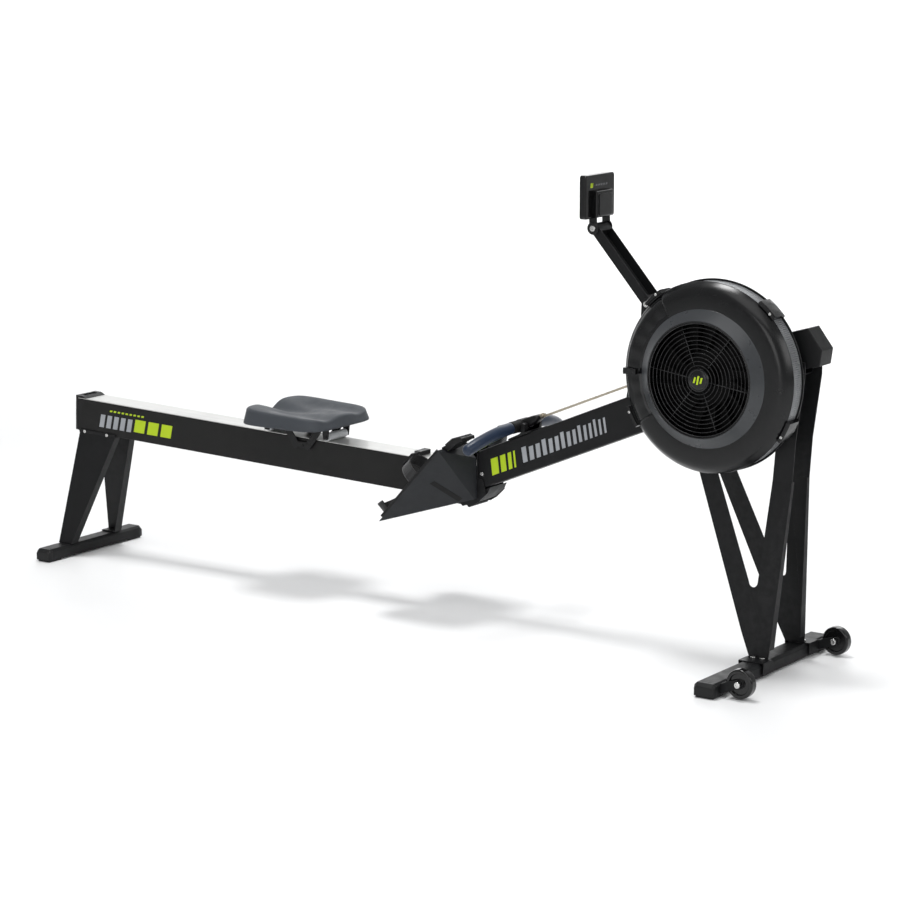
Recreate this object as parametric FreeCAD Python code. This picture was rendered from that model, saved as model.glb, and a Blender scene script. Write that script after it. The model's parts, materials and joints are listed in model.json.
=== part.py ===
import FreeCAD, Part
import os
import math
from FreeCAD import Vector as V

# Air-resistance rowing machine, tall-leg version.  Millimetres, +Z up, floor at z = 0.
# The model is laid out with x = 0 over the front cross foot, +x towards the front of the
# machine, y = 0 on the rail's centre line and -y on the side of the fan.  Every shape is moved
# by (SX, SY) at the end, so the origin is the middle of the whole object's footprint.
SX, SY = 1115.476, 75.0

# ---- driving dimensions -------------------------------------------------------------------
FOOT_F_Y0, FOOT_F_Y1 = -383.0, 227.0      # front cross foot, 610 long, set over to the fan side
FOOT_H, FOOT_HALF = 33.0, 30.0            # height of a foot bar's top over its pads, half width
REAR_X, REAR_HALF_Y = -2323.0, 209.0      # rear cross foot
RAIL_W, RAIL_H = 84.3, 98.0               # rail section
RAIL_X0, RAIL_X1 = -2317.0, -917.0        # rail ends
RAIL_Z0, RAIL_Z1 = 465.0, 416.4           # rail top at its two ends
BOOM_A = math.radians(22.7)               # slope of the boom
BOOM_D, BOOM_W = 98.0, 84.0               # boom section
BX0, BZ0 = -894.0, 462.0                  # top edge of the boom at its low end
FAN_X, FAN_Z = -160.0, 740.0              # axle of the fan
FAN_R = 236.0                             # outer radius of the front shell
GRILL_Y, SHELL_Y, BACK_Y = -150.0, -127.0, -48.0
GRILL_R, CONE_R = 144.0, 176.0
SEAT_X, SEAT_Z = -1505.0, 473.0           # middle of the seat, its lower edge
PLATE_A = math.radians(47.5)              # footrest slope
EPS = 0.5

RA = math.atan2(RAIL_Z0 - RAIL_Z1, RAIL_X1 - RAIL_X0)   # rail slope, falling towards the front
RC, RS = math.cos(RA), math.sin(RA)
BC, BS = math.cos(BOOM_A), math.sin(BOOM_A)

os.makedirs("parts", exist_ok=True)
NODES = {}


def put(name, *shapes):
    NODES.setdefault(name, []).extend(shapes)


def box(x0, y0, z0, x1, y1, z1):
    return Part.makeBox(x1 - x0, y1 - y0, z1 - z0, V(x0, y0, z0))


def cyl(x, y, z, r, h, axis="y"):
    d = {"x": V(1, 0, 0), "y": V(0, 1, 0), "z": V(0, 0, 1)}[axis] if isinstance(axis, str) else axis
    return Part.makeCylinder(r, h, V(x, y, z), d)


def tube(x, y, z, r1, r0, h, axis="y"):
    d = {"x": V(1, 0, 0), "y": V(0, 1, 0), "z": V(0, 0, 1)}[axis] if isinstance(axis, str) else axis
    return Part.makeCylinder(r1, h, V(x, y, z), d).cut(
        Part.makeCylinder(r0, h + 4, V(x, y, z) - d * 2, d))


def face(pts):
    return Part.Face(Part.makePolygon([V(*p) for p in pts] + [V(*pts[0])]))


def prism_y(pts, y0, y1):
    return face([(x, y0, z) for x, z in pts]).extrude(V(0, y1 - y0, 0))


def prism_x(pts, x0, x1):
    return face([(x0, y, z) for y, z in pts]).extrude(V(x1 - x0, 0, 0))


def prism_z(pts, z0, z1):
    return face([(x, y, z0) for x, y in pts]).extrude(V(0, 0, z1 - z0))


def loft(*loops):
    """Ruled solid through closed polygons with equal point counts."""
    ws = [Part.makePolygon([V(*p) for p in lp] + [V(*lp[0])]) for lp in loops]
    return Part.makeLoft(ws, True, True)


def fil(s, r, keep):
    es = [e for e in s.Edges if keep(e)]
    if es:
        try:
            t = s.makeFillet(r, es)
            if t.isValid() and t.Volume > 0:
                return t
        except Exception:
            pass
    return s


def along(axis, tol=0.02):
    def k(e):
        if len(e.Vertexes) < 2:
            return False
        d = e.Vertexes[-1].Point - e.Vertexes[0].Point
        if d.Length < 1e-6:
            return False
        d = d * (1.0 / d.Length)
        return abs(abs(d.dot(axis)) - 1) < tol
    return k


def cutall(s, *tools):
    for t in tools:
        s = s.cut(t)
    return s


def fuse(s, *others):
    for o in others:
        s = s.fuse(o)
    return s.removeSplitter()


def roty(s, deg, x, z):
    """Turn about an axis along y through (x, z); positive lifts the -x side... by the right hand."""
    s = s.copy()
    s.rotate(V(x, 0, z), V(0, 1, 0), deg)
    return s


def bolt(x, y, z, r, h, side, shank=0.0, rs=4.0):
    """Domed hex-socket bolt head with its axis along y; side = -1 head faces -y."""
    hd = cyl(x, y if side > 0 else y - h, z, r, h)
    hd = fil(hd, h * 0.45, lambda e: abs(e.BoundBox.YLength) < 1e-6
             and abs(e.BoundBox.YMin - (y + side * h)) < 1e-3)
    sock = cyl(x, y + side * h * 0.4, z, r * 0.42, h) if side > 0 else cyl(x, y - h * 1.4, z, r * 0.42, h)
    hd = hd.cut(sock)
    if shank:
        hd = hd.fuse(cyl(x, y - shank if side > 0 else y, z, rs, shank))
    return hd


# point on the rail's top surface at distance s (mm) from its rear end, d below the top
def rail_pt(s, d=0.0):
    return (RAIL_X0 + s * RC - d * RS, RAIL_Z0 - s * RS - d * RC)


def rail_quad(s0, s1, d0, d1):
    return [rail_pt(s0, d0), rail_pt(s1, d0), rail_pt(s1, d1), rail_pt(s0, d1)]


# point on the boom: s along it from the low end of its top edge, d below the top edge
def boom_pt(s, d=0.0):
    return (BX0 + s * BC + d * BS, BZ0 + s * BS - d * BC)


def boom_quad(s0, s1, d0, d1):
    return [boom_pt(s0, d0), boom_pt(s1, d0), boom_pt(s1, d1), boom_pt(s0, d1)]


# ---- front cross foot ---------------------------------------------------------------------
def foot_bar(xc, y0, y1, half, z0, z1, ch):
    sec = [(xc - half, z0), (xc + half, z0), (xc + half, z1 - ch), (xc + half - ch, z1),
           (xc - half + ch, z1), (xc - half, z1 - ch)]
    outer = prism_y(sec, y0, y1)
    t = 3.0
    inn = [(xc - half + t, z0 + t), (xc + half - t, z0 + t), (xc + half - t, z1 - ch - t * 0.4),
           (xc + half - ch - t * 0.4, z1 - t), (xc - half + ch + t * 0.4, z1 - t),
           (xc - half + t, z1 - ch - t * 0.4)]
    return outer.cut(prism_y(inn, y0 - 5, y1 + 5))


def foot_cap(xc, y, out, half, z0, z1, ch, pad):
    """Moulded end cap: plug in the tube, chamfered outside, with a rubber tread underneath."""
    a, b = (y, y + out * 18.0)
    sec = [(xc - half, z0), (xc + half, z0), (xc + half, z1 - ch), (xc + half - ch, z1),
           (xc - half + ch, z1), (xc - half, z1 - ch)]
    sec2 = [(xc - half + 4, z0), (xc + half - 4, z0), (xc + half - 4, z1 - ch - 7), (xc + half - ch - 3, z1 - 9),
            (xc - half + ch + 3, z1 - 9), (xc - half + 4, z1 - ch - 7)]
    m = loft([(x, a, z) for x, z in sec], [(x, y + out * 8.0, z) for x, z in sec],
             [(x, b, z) for x, z in sec2])
    t = 3.4
    inn = [(xc - half + t, z0 + t), (xc + half - t, z0 + t), (xc + half - t, z1 - ch - t * 0.5),
           (xc + half - ch - t * 0.5, z1 - t), (xc - half + ch + t * 0.5, z1 - t),
           (xc - half + t, z1 - ch - t * 0.5)]
    plug = prism_y(inn, min(y, y - out * 24), max(y, y - out * 24))
    m = m.fuse(plug)
    p0, p1 = sorted((y - out * 40.0, y + out * 12.0))
    padz = box(xc - half + 5, p0, 0, xc + half - 5, p1, z0)
    m = m.fuse(padz)
    return m.removeSplitter()


PAD = 5.0
FZ1 = PAD + FOOT_H
put("front_foot_bar", foot_bar(0, FOOT_F_Y0 + 18, FOOT_F_Y1 - 18, FOOT_HALF, PAD, FZ1, 7))
put("front_foot_caps", foot_cap(0, FOOT_F_Y0 + 18, -1, FOOT_HALF, PAD, FZ1, 7, PAD),
    foot_cap(0, FOOT_F_Y1 - 18, 1, FOOT_HALF, PAD, FZ1, 7, PAD))

# ---- front legs: folded sheet, a broad V standing on a narrow foot ----------------------------
def v_round(cx, cz, r, a0, a1, n=6):
    return [(cx + r * math.cos(math.radians(a0 + (a1 - a0) * i / n)),
             cz + r * math.sin(math.radians(a0 + (a1 - a0) * i / n))) for i in range(n + 1)]


ZBEND = 486.0                                       # the plates lean in up to this height, then stand upright
LEAN = math.degrees(math.atan2(51.0, ZBEND - 39.5))
COSL = math.cos(math.radians(LEAN))
for nm, side in (("near", -1), ("far", 1)):
    t = 3.0
    vin = v_round(-36, 226, 13, 0, -180)
    outline = [(-33, 39.5), (22, 39.5), (24, 60), (60, 590), (82, 752), (82, 792), (24, 792), (19, 752)] + vin + \
              [(-160, 488), (-246, 690), (-296, 690), (-216, 492), (-60, 100)]
    zb_ = 39.5 + (ZBEND - 39.5) / COSL
    big = face([(x, 0, 39.5 + (z - 39.5) / COSL if z <= ZBEND else zb_ + (z - ZBEND)) for x, z in outline]
               ).extrude(V(0, side * t, 0))
    low = big.common(box(-400, -20, 0, 200, 20, zb_))
    low.rotate(V(0, 0, 39.5), V(1, 0, 0), side * LEAN)
    low.translate(V(0, side * 94.2, 0))
    top = big.common(box(-400, -20, zb_ - 1.5, 200, 20, 2000))
    top.translate(V(0, side * 43.1, ZBEND - zb_))
    yo = lambda z: side * (97.2 - (z - 39.5) * math.tan(math.radians(LEAN)))
    xa, za, xb, zb = 24.0, 60.0, 52.9, ZBEND
    flange = loft([(xa - 3, yo(za), za), (xa, yo(za), za), (xa, yo(za) - side * 26, za), (xa - 3, yo(za) - side * 26, za)],
                  [(xb - 3, yo(zb), zb), (xb, yo(zb), zb), (xb, yo(zb) - side * 12, zb), (xb - 3, yo(zb) - side * 12, zb)])
    put("front_leg_" + nm, fuse(low, top, flange))
    put("frame_bolts", bolt(50, side * 46.2, 774, 6.5, 2.0 if side < 0 else 4.0, side),
        bolt(-262, side * 46.2, 660, 6.5, 1.8 if side < 0 else 4.0, side))

for side in (-1, 1):
    yb = side * 97.0
    # U-shaped saddle that clamps the leg to the foot bar
    o = prism_y([(-36, 9), (-33.5, 9), (-33.5, FZ1 + .3), (33.5, FZ1 + .3), (33.5, 9), (36, 9), (36, FZ1 + 2.4),
                 (-36, FZ1 + 2.4)], side * 98.0, side * 145)
    put("leg_brackets", o)
    for xb_ in (-14, 12):
        hd = Part.makeCylinder(7.0, 4.0, V(xb_, side * 108.0, FZ1 + 2.5), V(0, 0, 1))
        put("frame_bolts", fil(hd, 1.2, lambda e: abs(e.BoundBox.ZMin - FZ1 - 6.5) < 1e-3))

# ---- transport wheels on short arms ahead of the front foot -----------------------------------
CAST = {"near": (79.0, -335.0, 40.0), "far": (79.0, 165.0, 40.0)}
CAST_R = 37.0
for nm, (cx, cy, cz) in CAST.items():
    hub = cyl(cx, cy - 12.5, cz, CAST_R, 25)
    hub = fil(hub, 5.0, lambda e: e.BoundBox.YLength < 1e-6)
    hub = cutall(hub, cyl(cx, cy - 20, cz, 5.05, 40),
                 tube(cx, cy - 14, cz, 27, 12, 6.5), tube(cx, cy + 7.5, cz, 27, 12, 6.5))
    put("caster_wheel_" + nm, hub)
    # fork arm: a back plate on the bar and two cheeks
    for yo_ in (-18.5, 15.5):
        put("caster_arms", fuse(prism_y([(30.3, 12), (30.3, 36), (60, 48), (cx - 6, 51), (cx + 8, 48), (cx + 11, 40),
                                         (cx + 8, 31), (cx - 6, 28), (60, 22)], cy + yo_, cy + yo_ + 3)
                                ).cut(cyl(cx, cy - 30, cz, 4.0, 60)))
    put("caster_arms", box(30.3, cy - 15.5, 12, 33.3, cy + 15.5, 36))
    ax = fuse(cyl(cx, cy - 15.2, cz, 5.0, 30.4), cyl(cx, cy - 22, cz, 3.9, 44))
    put("caster_axles", fuse(ax, bolt(cx, cy - 18.7, cz, 8, 5, -1), bolt(cx, cy + 18.7, cz, 8, 5, 1)))

# ---- boom: a closed box beam from the footrests up past the fan ---------------------------------
BOOM_L = (28.0 - BX0) / BC                       # length along its top edge


def boom_outline(off):
    """Outline with its low end cut upright and its top end cut back at a slant, inset by off."""
    x0 = BX0 + off
    zt = lambda x: BZ0 + (x - BX0) * BS / BC - off / BC
    zb = lambda x: BZ0 - BOOM_D / BC + (x - BX0) * BS / BC + off / BC
    return [(x0, zt(x0)), (26.0, zt(26.0)), (58.0, zb(58.0) + 52), (58.0, zb(58.0)), (x0, zb(x0))]


boom = prism_y(boom_outline(0), -42, 42)
boom = fil(boom, 5.0, along(V(BC, 0, BS), 0.001))
inner = prism_y(boom_outline(3.0), -39, 39)
boom = boom.cut(inner)
boom = cutall(boom,
              box(-330, -9, 640, -120, 9, 790).common(prism_y(boom_quad(560, 860, -30, 20), -9, 9)),
              cyl(FAN_X, -60, FAN_Z, 14.0, 120))
boom = boom.cut(prism_y([(BX0 - 5, 372), (BX0 + 4, 372), (BX0 + 4, 446), (BX0 - 5, 446)], -30, 30))
put("boom_beam", boom)
put("boom_end_cap", prism_y([(BX0 - 4, 368), (BX0 - 0.05, 368), (BX0 - 0.05, 450), (BX0 - 4, 450)], -34, 34).fuse(
    prism_y([(BX0 - 1, 373), (BX0 + 12, 373), (BX0 + 12, 445), (BX0 - 1, 445)], -29.5, 29.5)).removeSplitter())
# moulded nose box on the upper end
nose = prism_y([(10, 856), (78, 876), (118.9, 823), (113, 783), (64, 772), (60.0, 772), (60.0, 809), (28, 849), (10, 841.4)], -29, 32)
nose = fil(nose, 3.0, along(V(0, 1, 0), 0.001))
put("boom_nose", nose)
put("frame_bolts", bolt(-883, -42.1, 401, 5.5, 3.2, -1), bolt(-883, 42.1, 401, 5.5, 3.2, 1))
# ---- fan housing -----------------------------------------------------------------------------
def rim(r):
    """Radii outside the cone are drawn in a little."""
    return r if r <= 176.0 else 176.0 + (r - 176.0) * 0.93


def rev(profile, a0=0.0, a1=360.0):
    f = face([(FAN_X + rim(r), y, FAN_Z) for r, y in profile])
    s = f.revolve(V(FAN_X, 0, FAN_Z), V(0, -1, 0), a1 - a0)      # counter-clockwise seen from -y
    if a0:
        s.rotate(V(FAN_X, 0, FAN_Z), V(0, -1, 0), a0)
    return s


back = rev([(28, -60), (40, -60), (44, -52), (240, -52), (243, -57), (250, -57), (250, -53), (244, -48.2), (28, -48.2)])
put("rear_shell", back)
ring = rev([(243.2, -104), (245.2, -104), (245.2, -57.3), (243.2, -57.3)])
put("vent_ring", ring)
FS = [(144.0, -150.0), (146.5, -152.0), (176.0, -129.0), (222.0, -129.0), (232.0, -126.5), (238.0, -120.0),
      (246.5, -110.0), (249.0, -104.4), (243.5, -104.4), (240.5, -109.0), (233.0, -117.5), (229.0, -122.0),
      (221.0, -125.0), (176.0, -125.0), (147.0, -147.0)]
front = rev(FS)
# window for the damper: a shallow sector pressed into the shell, with a slot for its lever
sector = rev([(180, -140), (252, -140), (252, -127.4), (180, -127.4)], 138, 222)
slot = rev([(181, -140), (262, -140), (262, -112), (181, -112)], 158, 202)
front = cutall(front, sector, slot)
put("front_shell", front)
# damper: a sleeve that opens and shuts the air ports, with a lever through the slot
slv = rev([(182.0, -120.0), (228.0, -120.0), (228.0, -117.5), (182.0, -117.5)], 152.0, 203.0)
lev = rev([(196.0, -131.0), (236.0, -131.0), (236.0, -117.6), (196.0, -117.6)], 178.0, 182.0)
slv = fuse(slv, lev)
put("damper_lever", slv)
# grill: concentric wires on six spokes, held in the shell's mouth
gr = [rev([(r, -149.0), (r + 1.6, -149.0), (r + 1.6, -147.4), (r, -147.4)]) for r in
      [36 + 10.7 * i for i in range(10)]]
gr.append(rev([(141.2, -150.4), (143.8, -150.4), (143.8, -146.6), (141.2, -146.6)]))
sp = []
for i in range(6):
    b_ = box(FAN_X + 29, -147.4, FAN_Z - 1.1, FAN_X + 142, -145.6, FAN_Z + 1.1)
    b_.rotate(V(FAN_X, 0, FAN_Z), V(0, -1, 0), 52 + 60 * i)
    sp.append(b_)
hubp = cyl(FAN_X, -149.0, FAN_Z, 31.0, 3.4)
g = gr[0].multiFuse(gr[1:] + sp + [hubp])
put("grill", g)
put("hub_badge", fil(cyl(FAN_X, -153.4, FAN_Z, 29.0, 4.3), 1.5, lambda e: abs(e.BoundBox.YMin + 153.4) < 1e-3 and e.BoundBox.YLength < 1e-6))

# clamps that hold the shells together round the rim
for a in (48, 130, -28, 209):
    c = rev([(249.4, -110), (257, -110), (260, -106), (259.5, -60), (252.5, -47.4), (244.6, -46.5), (244.6, -48.1),
             (250.4, -52.6), (250.4, -57.4), (245.6, -57.8), (245.6, -104.2), (249.4, -104.2)], a - 6.5, a + 6.5)
    put("housing_clamps", c)
    r_ = rim(254.4)
    bx, bz = FAN_X + r_ * math.cos(math.radians(a - 3)), FAN_Z + r_ * math.sin(math.radians(a - 3))
    put("frame_bolts", bolt(bx, -110.05, bz, 3.6, 2.6, -1))

# fan: steel disc with moulded vanes on a hub
disc = cyl(FAN_X, -86.0, FAN_Z, 150.0, 5.0)
hub = cyl(FAN_X, -118.0, FAN_Z, 26.0, 58.0)
vanes = []
for i in range(16):
    v = box(FAN_X + 70, -113.0, FAN_Z - 1.6, FAN_X + 174, -81.5, FAN_Z + 1.6)
    v.rotate(V(FAN_X + 70, 0, FAN_Z), V(0, 1, 0), 24)
    v.rotate(V(FAN_X, 0, FAN_Z), V(0, 1, 0), 22.5 * i)
    vanes.append(v)
fan = disc.multiFuse([hub] + vanes)
fan = fan.cut(cyl(FAN_X, -140, FAN_Z, 10.05, 100))
put("flywheel", fan)
put("flywheel_axle", fuse(cyl(FAN_X, -136.0, FAN_Z, 10.0, 172.0), cyl(FAN_X, -140, FAN_Z, 15.0, 6.0)))
for y0 in (-41.6, 28.0):
    put("axle_bearings", tube(FAN_X, y0, FAN_Z, 13.95, 10.02, 10.5))
# chain sprocket with its one-way clutch
def sprocket(r_out, r_root, n, y0, y1):
    pts = []
    for i in range(n):
        for k, rr in ((0.0, r_root), (0.22, r_root), (0.42, r_out), (0.62, r_out), (0.82, r_root)):
            a_ = 2 * math.pi * (i + k) / n
            pts.append((FAN_X + rr * math.cos(a_), FAN_Z + rr * math.sin(a_)))
    return prism_y(pts, y0, y1)


spk = fuse(sprocket(15.6, 12.4, 14, -1.4, 1.4), tube(FAN_X, -12.0, FAN_Z, 12.0, 10.05, 24.0)).cut(cyl(FAN_X, -20, FAN_Z, 10.05, 40))
put("sprocket", spk)
# speed pickup coil beside the fan hub
gen = tube(FAN_X, -59.8, FAN_Z, 60.0, 46.0, 7.0).cut(box(FAN_X - 80, -70, FAN_Z - 80, FAN_X + 80, -50, FAN_Z + 10))
put("speed_pickup", gen)

# ---- footrests: a sheet wedge each side with a plastic board on its slope ---------------------------
PC, PS = math.cos(PLATE_A), math.sin(PLATE_A)
TIPX, TIPZ = -1136.0, 262.0


def plate_pt(s, h=0.0):
    """s along the slope from its low tip, h square above it (towards the rower)."""
    return (TIPX + s * PC - h * PS, TIPZ + s * PS + h * PC)


# corners of the folded wedge: A B low tip, T U top, F the boom's top corner, R S low corner by the boom
CORNERS = {"A": (-1136, 166, 262), "B": (-1136, 46, 262), "T": (-938.7, 166, 477.3), "U": (-938.7, 46, 477.3),
           "F": (-899, 46, 443), "R": (-896, 60, 333), "S": (-896, 46, 333)}
SIDES = ["ATUB", "ART", "TRF", "FRS", "TFU", "ABSR", "BUFS"]


def wedge(side, k=1.0, ymin=None):
    """Closed wedge with its corners drawn in towards the middle by the factor k."""
    c = [sum(p[i] for p in CORNERS.values()) / 7.0 for i in range(3)]
    pts = {}
    for n_, p in CORNERS.items():
        q = [c[i] + (p[i] - c[i]) * k for i in range(3)]
        if ymin is not None and p[1] == 46:
            q[1] = ymin
        pts[n_] = V(q[0], side * q[1], q[2])
    fs = [Part.Face(Part.makePolygon([pts[n_] for n_ in f] + [pts[f[0]]])) for f in SIDES]
    so = Part.Solid(Part.Shell(fs))
    if so.Volume < 0:
        so.reverse()
    return so


for nm, side in (("near", -1), ("far", 1)):
    w = wedge(side).cut(wedge(side, 0.95, 40.0))
    put("footrest_" + nm, w)
    # board, with a raised border and the toe fin standing above the apex
    q = lambda a, b, c, d: [plate_pt(a, c), plate_pt(b, c), plate_pt(b, d), plate_pt(a, d)]
    yb0, yb1 = min(side * 58, side * 162), max(side * 58, side * 162)
    bd = prism_y(q(14, 288, 0.3, 5.3), yb0, yb1)
    bd = fuse(bd, prism_y(q(14, 288, 5.3, 9.0), yb0, yb0 + 4), prism_y(q(14, 288, 5.3, 9.0), yb1 - 4, yb1))
    fin = prism_y([plate_pt(288.1, 0.5), plate_pt(288.1, 9.0), (-934, 489), (-915, 506), (-892, 515), (-882, 513),
                   (-880, 505), (-888, 502), (-904, 493), (-916, 483), (-928, 475), plate_pt(292.3, 0.5)],
                  side * 110 - 30, side * 110 + 30)
    fin = fil(fin, 1.4, along(V(0, 1, 0), 0.001))
    put("foot_board_" + nm, bd, fin)
    # sliding foot cup: sole plate and a curved heel wall
    yc0, yc1 = min(side * 63, side * 157), max(side * 63, side * 157)
    sole = prism_y(q(44, 262, 6.0, 10.0), yc0, yc1)
    yc = side * 110.0
    n = 14
    outer, innr = [], []
    for i in range(n + 1):
        a_ = math.pi * i / n
        outer.append((46.5 * math.cos(a_), 40 * math.sin(a_)))
        innr.append((43 * math.cos(a_), 36.5 * math.sin(a_)))
    loop = outer + innr[::-1]
    # heel wall built flat (u across, v down the slope), then tipped onto the slope
    heel = face([(-v_ , u_, 0) for u_, v_ in loop]).extrude(V(0, 0, 46))
    slope_cut = face([(-60, -80, 46), (60, -80, 46), (60, -80, 12)]).extrude(V(0, 160, 0))
    heel = heel.cut(slope_cut)
    base = face([(-v_, u_, 0) for u_, v_ in outer]).extrude(V(0, 0, 4))
    heel = fuse(heel, base)
    heel.rotate(V(0, 0, 0), V(0, 1, 0), -math.degrees(PLATE_A))
    hx, hz = plate_pt(45, 6.0)
    heel.translate(V(hx, yc, hz))
    sole = fuse(sole, heel)
    put("foot_cup_" + nm, sole)
    # strap over the foot, with its cam buckle
    st = []
    pr = [(-46, 10.2), (-44, 34), (-32, 54), (-10, 64), (12, 64), (33, 54), (44, 34), (46, 10.2)]
    pi_ = [(46 - 1.8, 10.2), (42.2, 33.5), (31.8, 52.4), (11.6, 62.1), (-9.6, 62.1), (-30.8, 52.4), (-42.2, 33.5), (-44.2, 10.2)]
    strap = face([(0, u_, v_) for u_, v_ in pr + pi_]).extrude(V(38, 0, 0))
    bk = box(-4, -12, 64.2, 42, 16, 71)
    for o_, nn in ((strap, "foot_strap_"), (bk, "strap_buckles")):
        o_.rotate(V(0, 0, 0), V(0, 1, 0), -math.degrees(PLATE_A))
        sx_, sz_ = plate_pt(150, 0.0)
        o_.translate(V(sx_, yc, sz_))
        put(nn + nm if nn.endswith("_") else nn + "_" + nm, o_)

# bracket under the boom's low end that joins footrests, boom and rail
brk = prism_y([(-914, 316), (-893, 326), (-866, 350), (-858, 367), (-893.5, 352)], -41, 41)
brk = brk.cut(prism_y([(-914, 322), (-895, 331), (-870, 353), (-864, 361), (-893.5, 347)], -38, 38))
put("joint_bracket", brk)
for y0 in (-45.6, 43.0):
    put("joint_bracket", prism_y([(-990, 312), (-914, 310), (-893, 323), (-868, 347), (-878, 385), (-960, 400)], y0, y0 + 2.6))

put("boom_brackets", cyl(-945, -43.0, 312.0, 6.0, 86.0), cyl(-925, -43.0, 311.0, 6.0, 86.0))

# ---- handle hook, chain guide ------------------------------------------------------------------
def boom_top(x):
    return BZ0 + (x - BX0) * BS / BC


hk = prism_y([(-800, boom_top(-800) + .1), (-730, boom_top(-730) + .1), (-730, boom_top(-730) + 5), (-748, boom_top(-748) + 6),
              (-748, 549), (-755, 552), (-760.5, 549), (-760.5, 527), (-766, boom_top(-766) + 6),
              (-800, boom_top(-800) + 4)], -42, 42)
hk = hk.cut(box(-762, -24, 530, -740, 24, 570))
hk = fil(hk, 1.6, along(V(0, 1, 0), 0.001))
put("handle_hook", hk)
cg = prism_y([(-452, boom_top(-452) + .1), (-396, boom_top(-396) + .1), (-400, 700), (-424, 708), (-444, 690)], -15, 15)
cg = cg.cut(prism_y([(-470, 664), (-470, 694 - 14), (-430, 697), (-380, 711), (-380, 688), (-430, 676)], -5, 5))
put("chain_guide", cg)

# ---- chain -------------------------------------------------------------------------------------
def bar(p, q_, w, hgt):
    """Straight run of rectangular section between two points of the xz plane, y width w."""
    dx, dz = q_[0] - p[0], q_[1] - p[1]
    L = math.hypot(dx, dz)
    nx, nz = -dz / L * hgt / 2, dx / L * hgt / 2
    return prism_y([(p[0] + nx, p[1] + nz), (q_[0] + nx, q_[1] + nz), (q_[0] - nx, q_[1] - nz), (p[0] - nx, p[1] - nz)],
                   -w / 2, w / 2)


CH0, CH1 = (-707.0, 571.4), (-430.0, 686.4)
CH2 = (FAN_X - 5.2, FAN_Z + 19.2)
put("chain", bar(CH0, CH1, 6.6, 6.0), bar((CH1[0] + 1.2, CH1[1] + .3), CH2, 6.6, 6.0))
arc = rev([(16.6, 3.3), (22.4, 3.3), (22.4, -3.3), (16.6, -3.3)], -78, 104)
put("chain", arc)
RB_S, RB_D = 90.0, 52.0                      # return block: distance up the boom, depth in it
rbx, rbz = boom_pt(RB_S, RB_D)
low0 = (FAN_X - 1.0, FAN_Z - 21.6)
ux, uz = BC, BS
put("chain_return", bar((FAN_X - 4.0, FAN_Z - 22.0), (rbx + 22 * ux + 19.4 * uz * -1, rbz + 22 * uz + 19.4 * ux), 6.6, 5.6),
    bar((rbx + 22 * ux + 19.4 * uz, rbz + 22 * uz - 19.4 * ux), (rbx + 520 * ux + 19.4 * uz, rbz + 520 * uz - 19.4 * ux), 6.6, 5.6))
# return block in the boom, its pulley and the cord that pulls it down
cheeks = []
for y0 in (-16, 12):
    cheeks.append(prism_y([boom_pt(RB_S - 34, RB_D - 15), boom_pt(RB_S + 14, RB_D - 15), boom_pt(RB_S + 14, RB_D + 15),
                           boom_pt(RB_S - 34, RB_D + 15)], y0, y0 + 4))
cheeks.append(prism_y([boom_pt(RB_S - 34, RB_D - 15), boom_pt(RB_S - 26, RB_D - 15), boom_pt(RB_S - 26, RB_D + 15),
                       boom_pt(RB_S - 34, RB_D + 15)], -16, 16))
put("return_block", fuse(cheeks[0], cheeks[1], cheeks[2], cyl(rbx, -16, rbz, 4.0, 32)))
put("return_pulley", cutall(cyl(rbx, -11.5, rbz, 18.0, 23), cyl(rbx, -20, rbz, 4.05, 40),
                            tube(rbx, -4.5, rbz, 22.0, 15.8, 9)))
x1_, z1_ = boom_pt(RB_S - 34.3, RB_D)
x0_, z0_ = boom_pt(20.0, RB_D)
dv = V(x1_ - x0_, 0, z1_ - z0_)
put("shock_cord", Part.makeCylinder(4.5, dv.Length, V(x0_, 0, z0_), dv))

# ---- handle ------------------------------------------------------------------------------------
def stick(pts, r, ball=True):
    s = None
    for a_, b_ in zip(pts[:-1], pts[1:]):
        d = V(*b_) - V(*a_)
        c = Part.makeCylinder(r, d.Length, V(*a_), d)
        s = c if s is None else s.fuse(c)
    for p in pts[1:-1] + ([pts[-1]] if ball else []):
        s = s.fuse(Part.makeSphere(r, V(*p)))
    return s.removeSplitter()


HC = (-779.0, 0.0, 539.0)
def hpts(side):
    return [(HC[0], side * 62.0, HC[2]), (HC[0] - 5, side * 120.0, HC[2] - 6), (HC[0] - 17, side * 178.0, HC[2] - 21),
            (HC[0] - 31, side * 229.0, HC[2] - 40)]


core = None
for side in (-1, 1):
    pts = hpts(side)
    k = stick([(HC[0], side * 0.0, HC[2])] + pts[:-1], 8.0)
    core = k if core is None else core.fuse(k)
    gp = stick([(HC[0], side * 62.0, HC[2])] + pts[1:-1] + [(HC[0] - 28, side * 217.0, HC[2] - 36)], 16.0)
    gp = gp.cut(stick([(HC[0], side * 40.0, HC[2])] + pts[:-1], 8.05))
    put("handle_grips", gp)
put("handle_bar", core.removeSplitter())
hubc = tube(HC[0], -59.0, HC[2], 17.0, 8.05, 118.0)
horn = prism_y([(HC[0] - 2, HC[2] + 14), (HC[0] + 24, HC[2] + 27), (HC[0] + 52, HC[2] + 34), (HC[0] + 58, HC[2] + 22),
                (HC[0] + 36, HC[2] + 8), (HC[0] + 12, HC[2] - 8)], -19, 19)
horn = fil(horn, 3.0, along(V(0, 1, 0), 0.001))
horn = horn.cut(cyl(HC[0], -80, HC[2], 8.05, 160))
put("handle_hub", fuse(hubc, horn))
sx0, sz0 = HC[0] + 53.5, HC[2] + 28.6
dch = V(CH1[0] - CH0[0], 0, CH1[1] - CH0[1])
dch.normalize()
put("chain_swivel", fuse(Part.makeCylinder(6.5, 10.0, V(sx0 + 2, 0, sz0 + .4), dch),
                         Part.makeCylinder(4.2, 15.5, V(sx0 + 2, 0, sz0 + .4), dch)))

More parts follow.
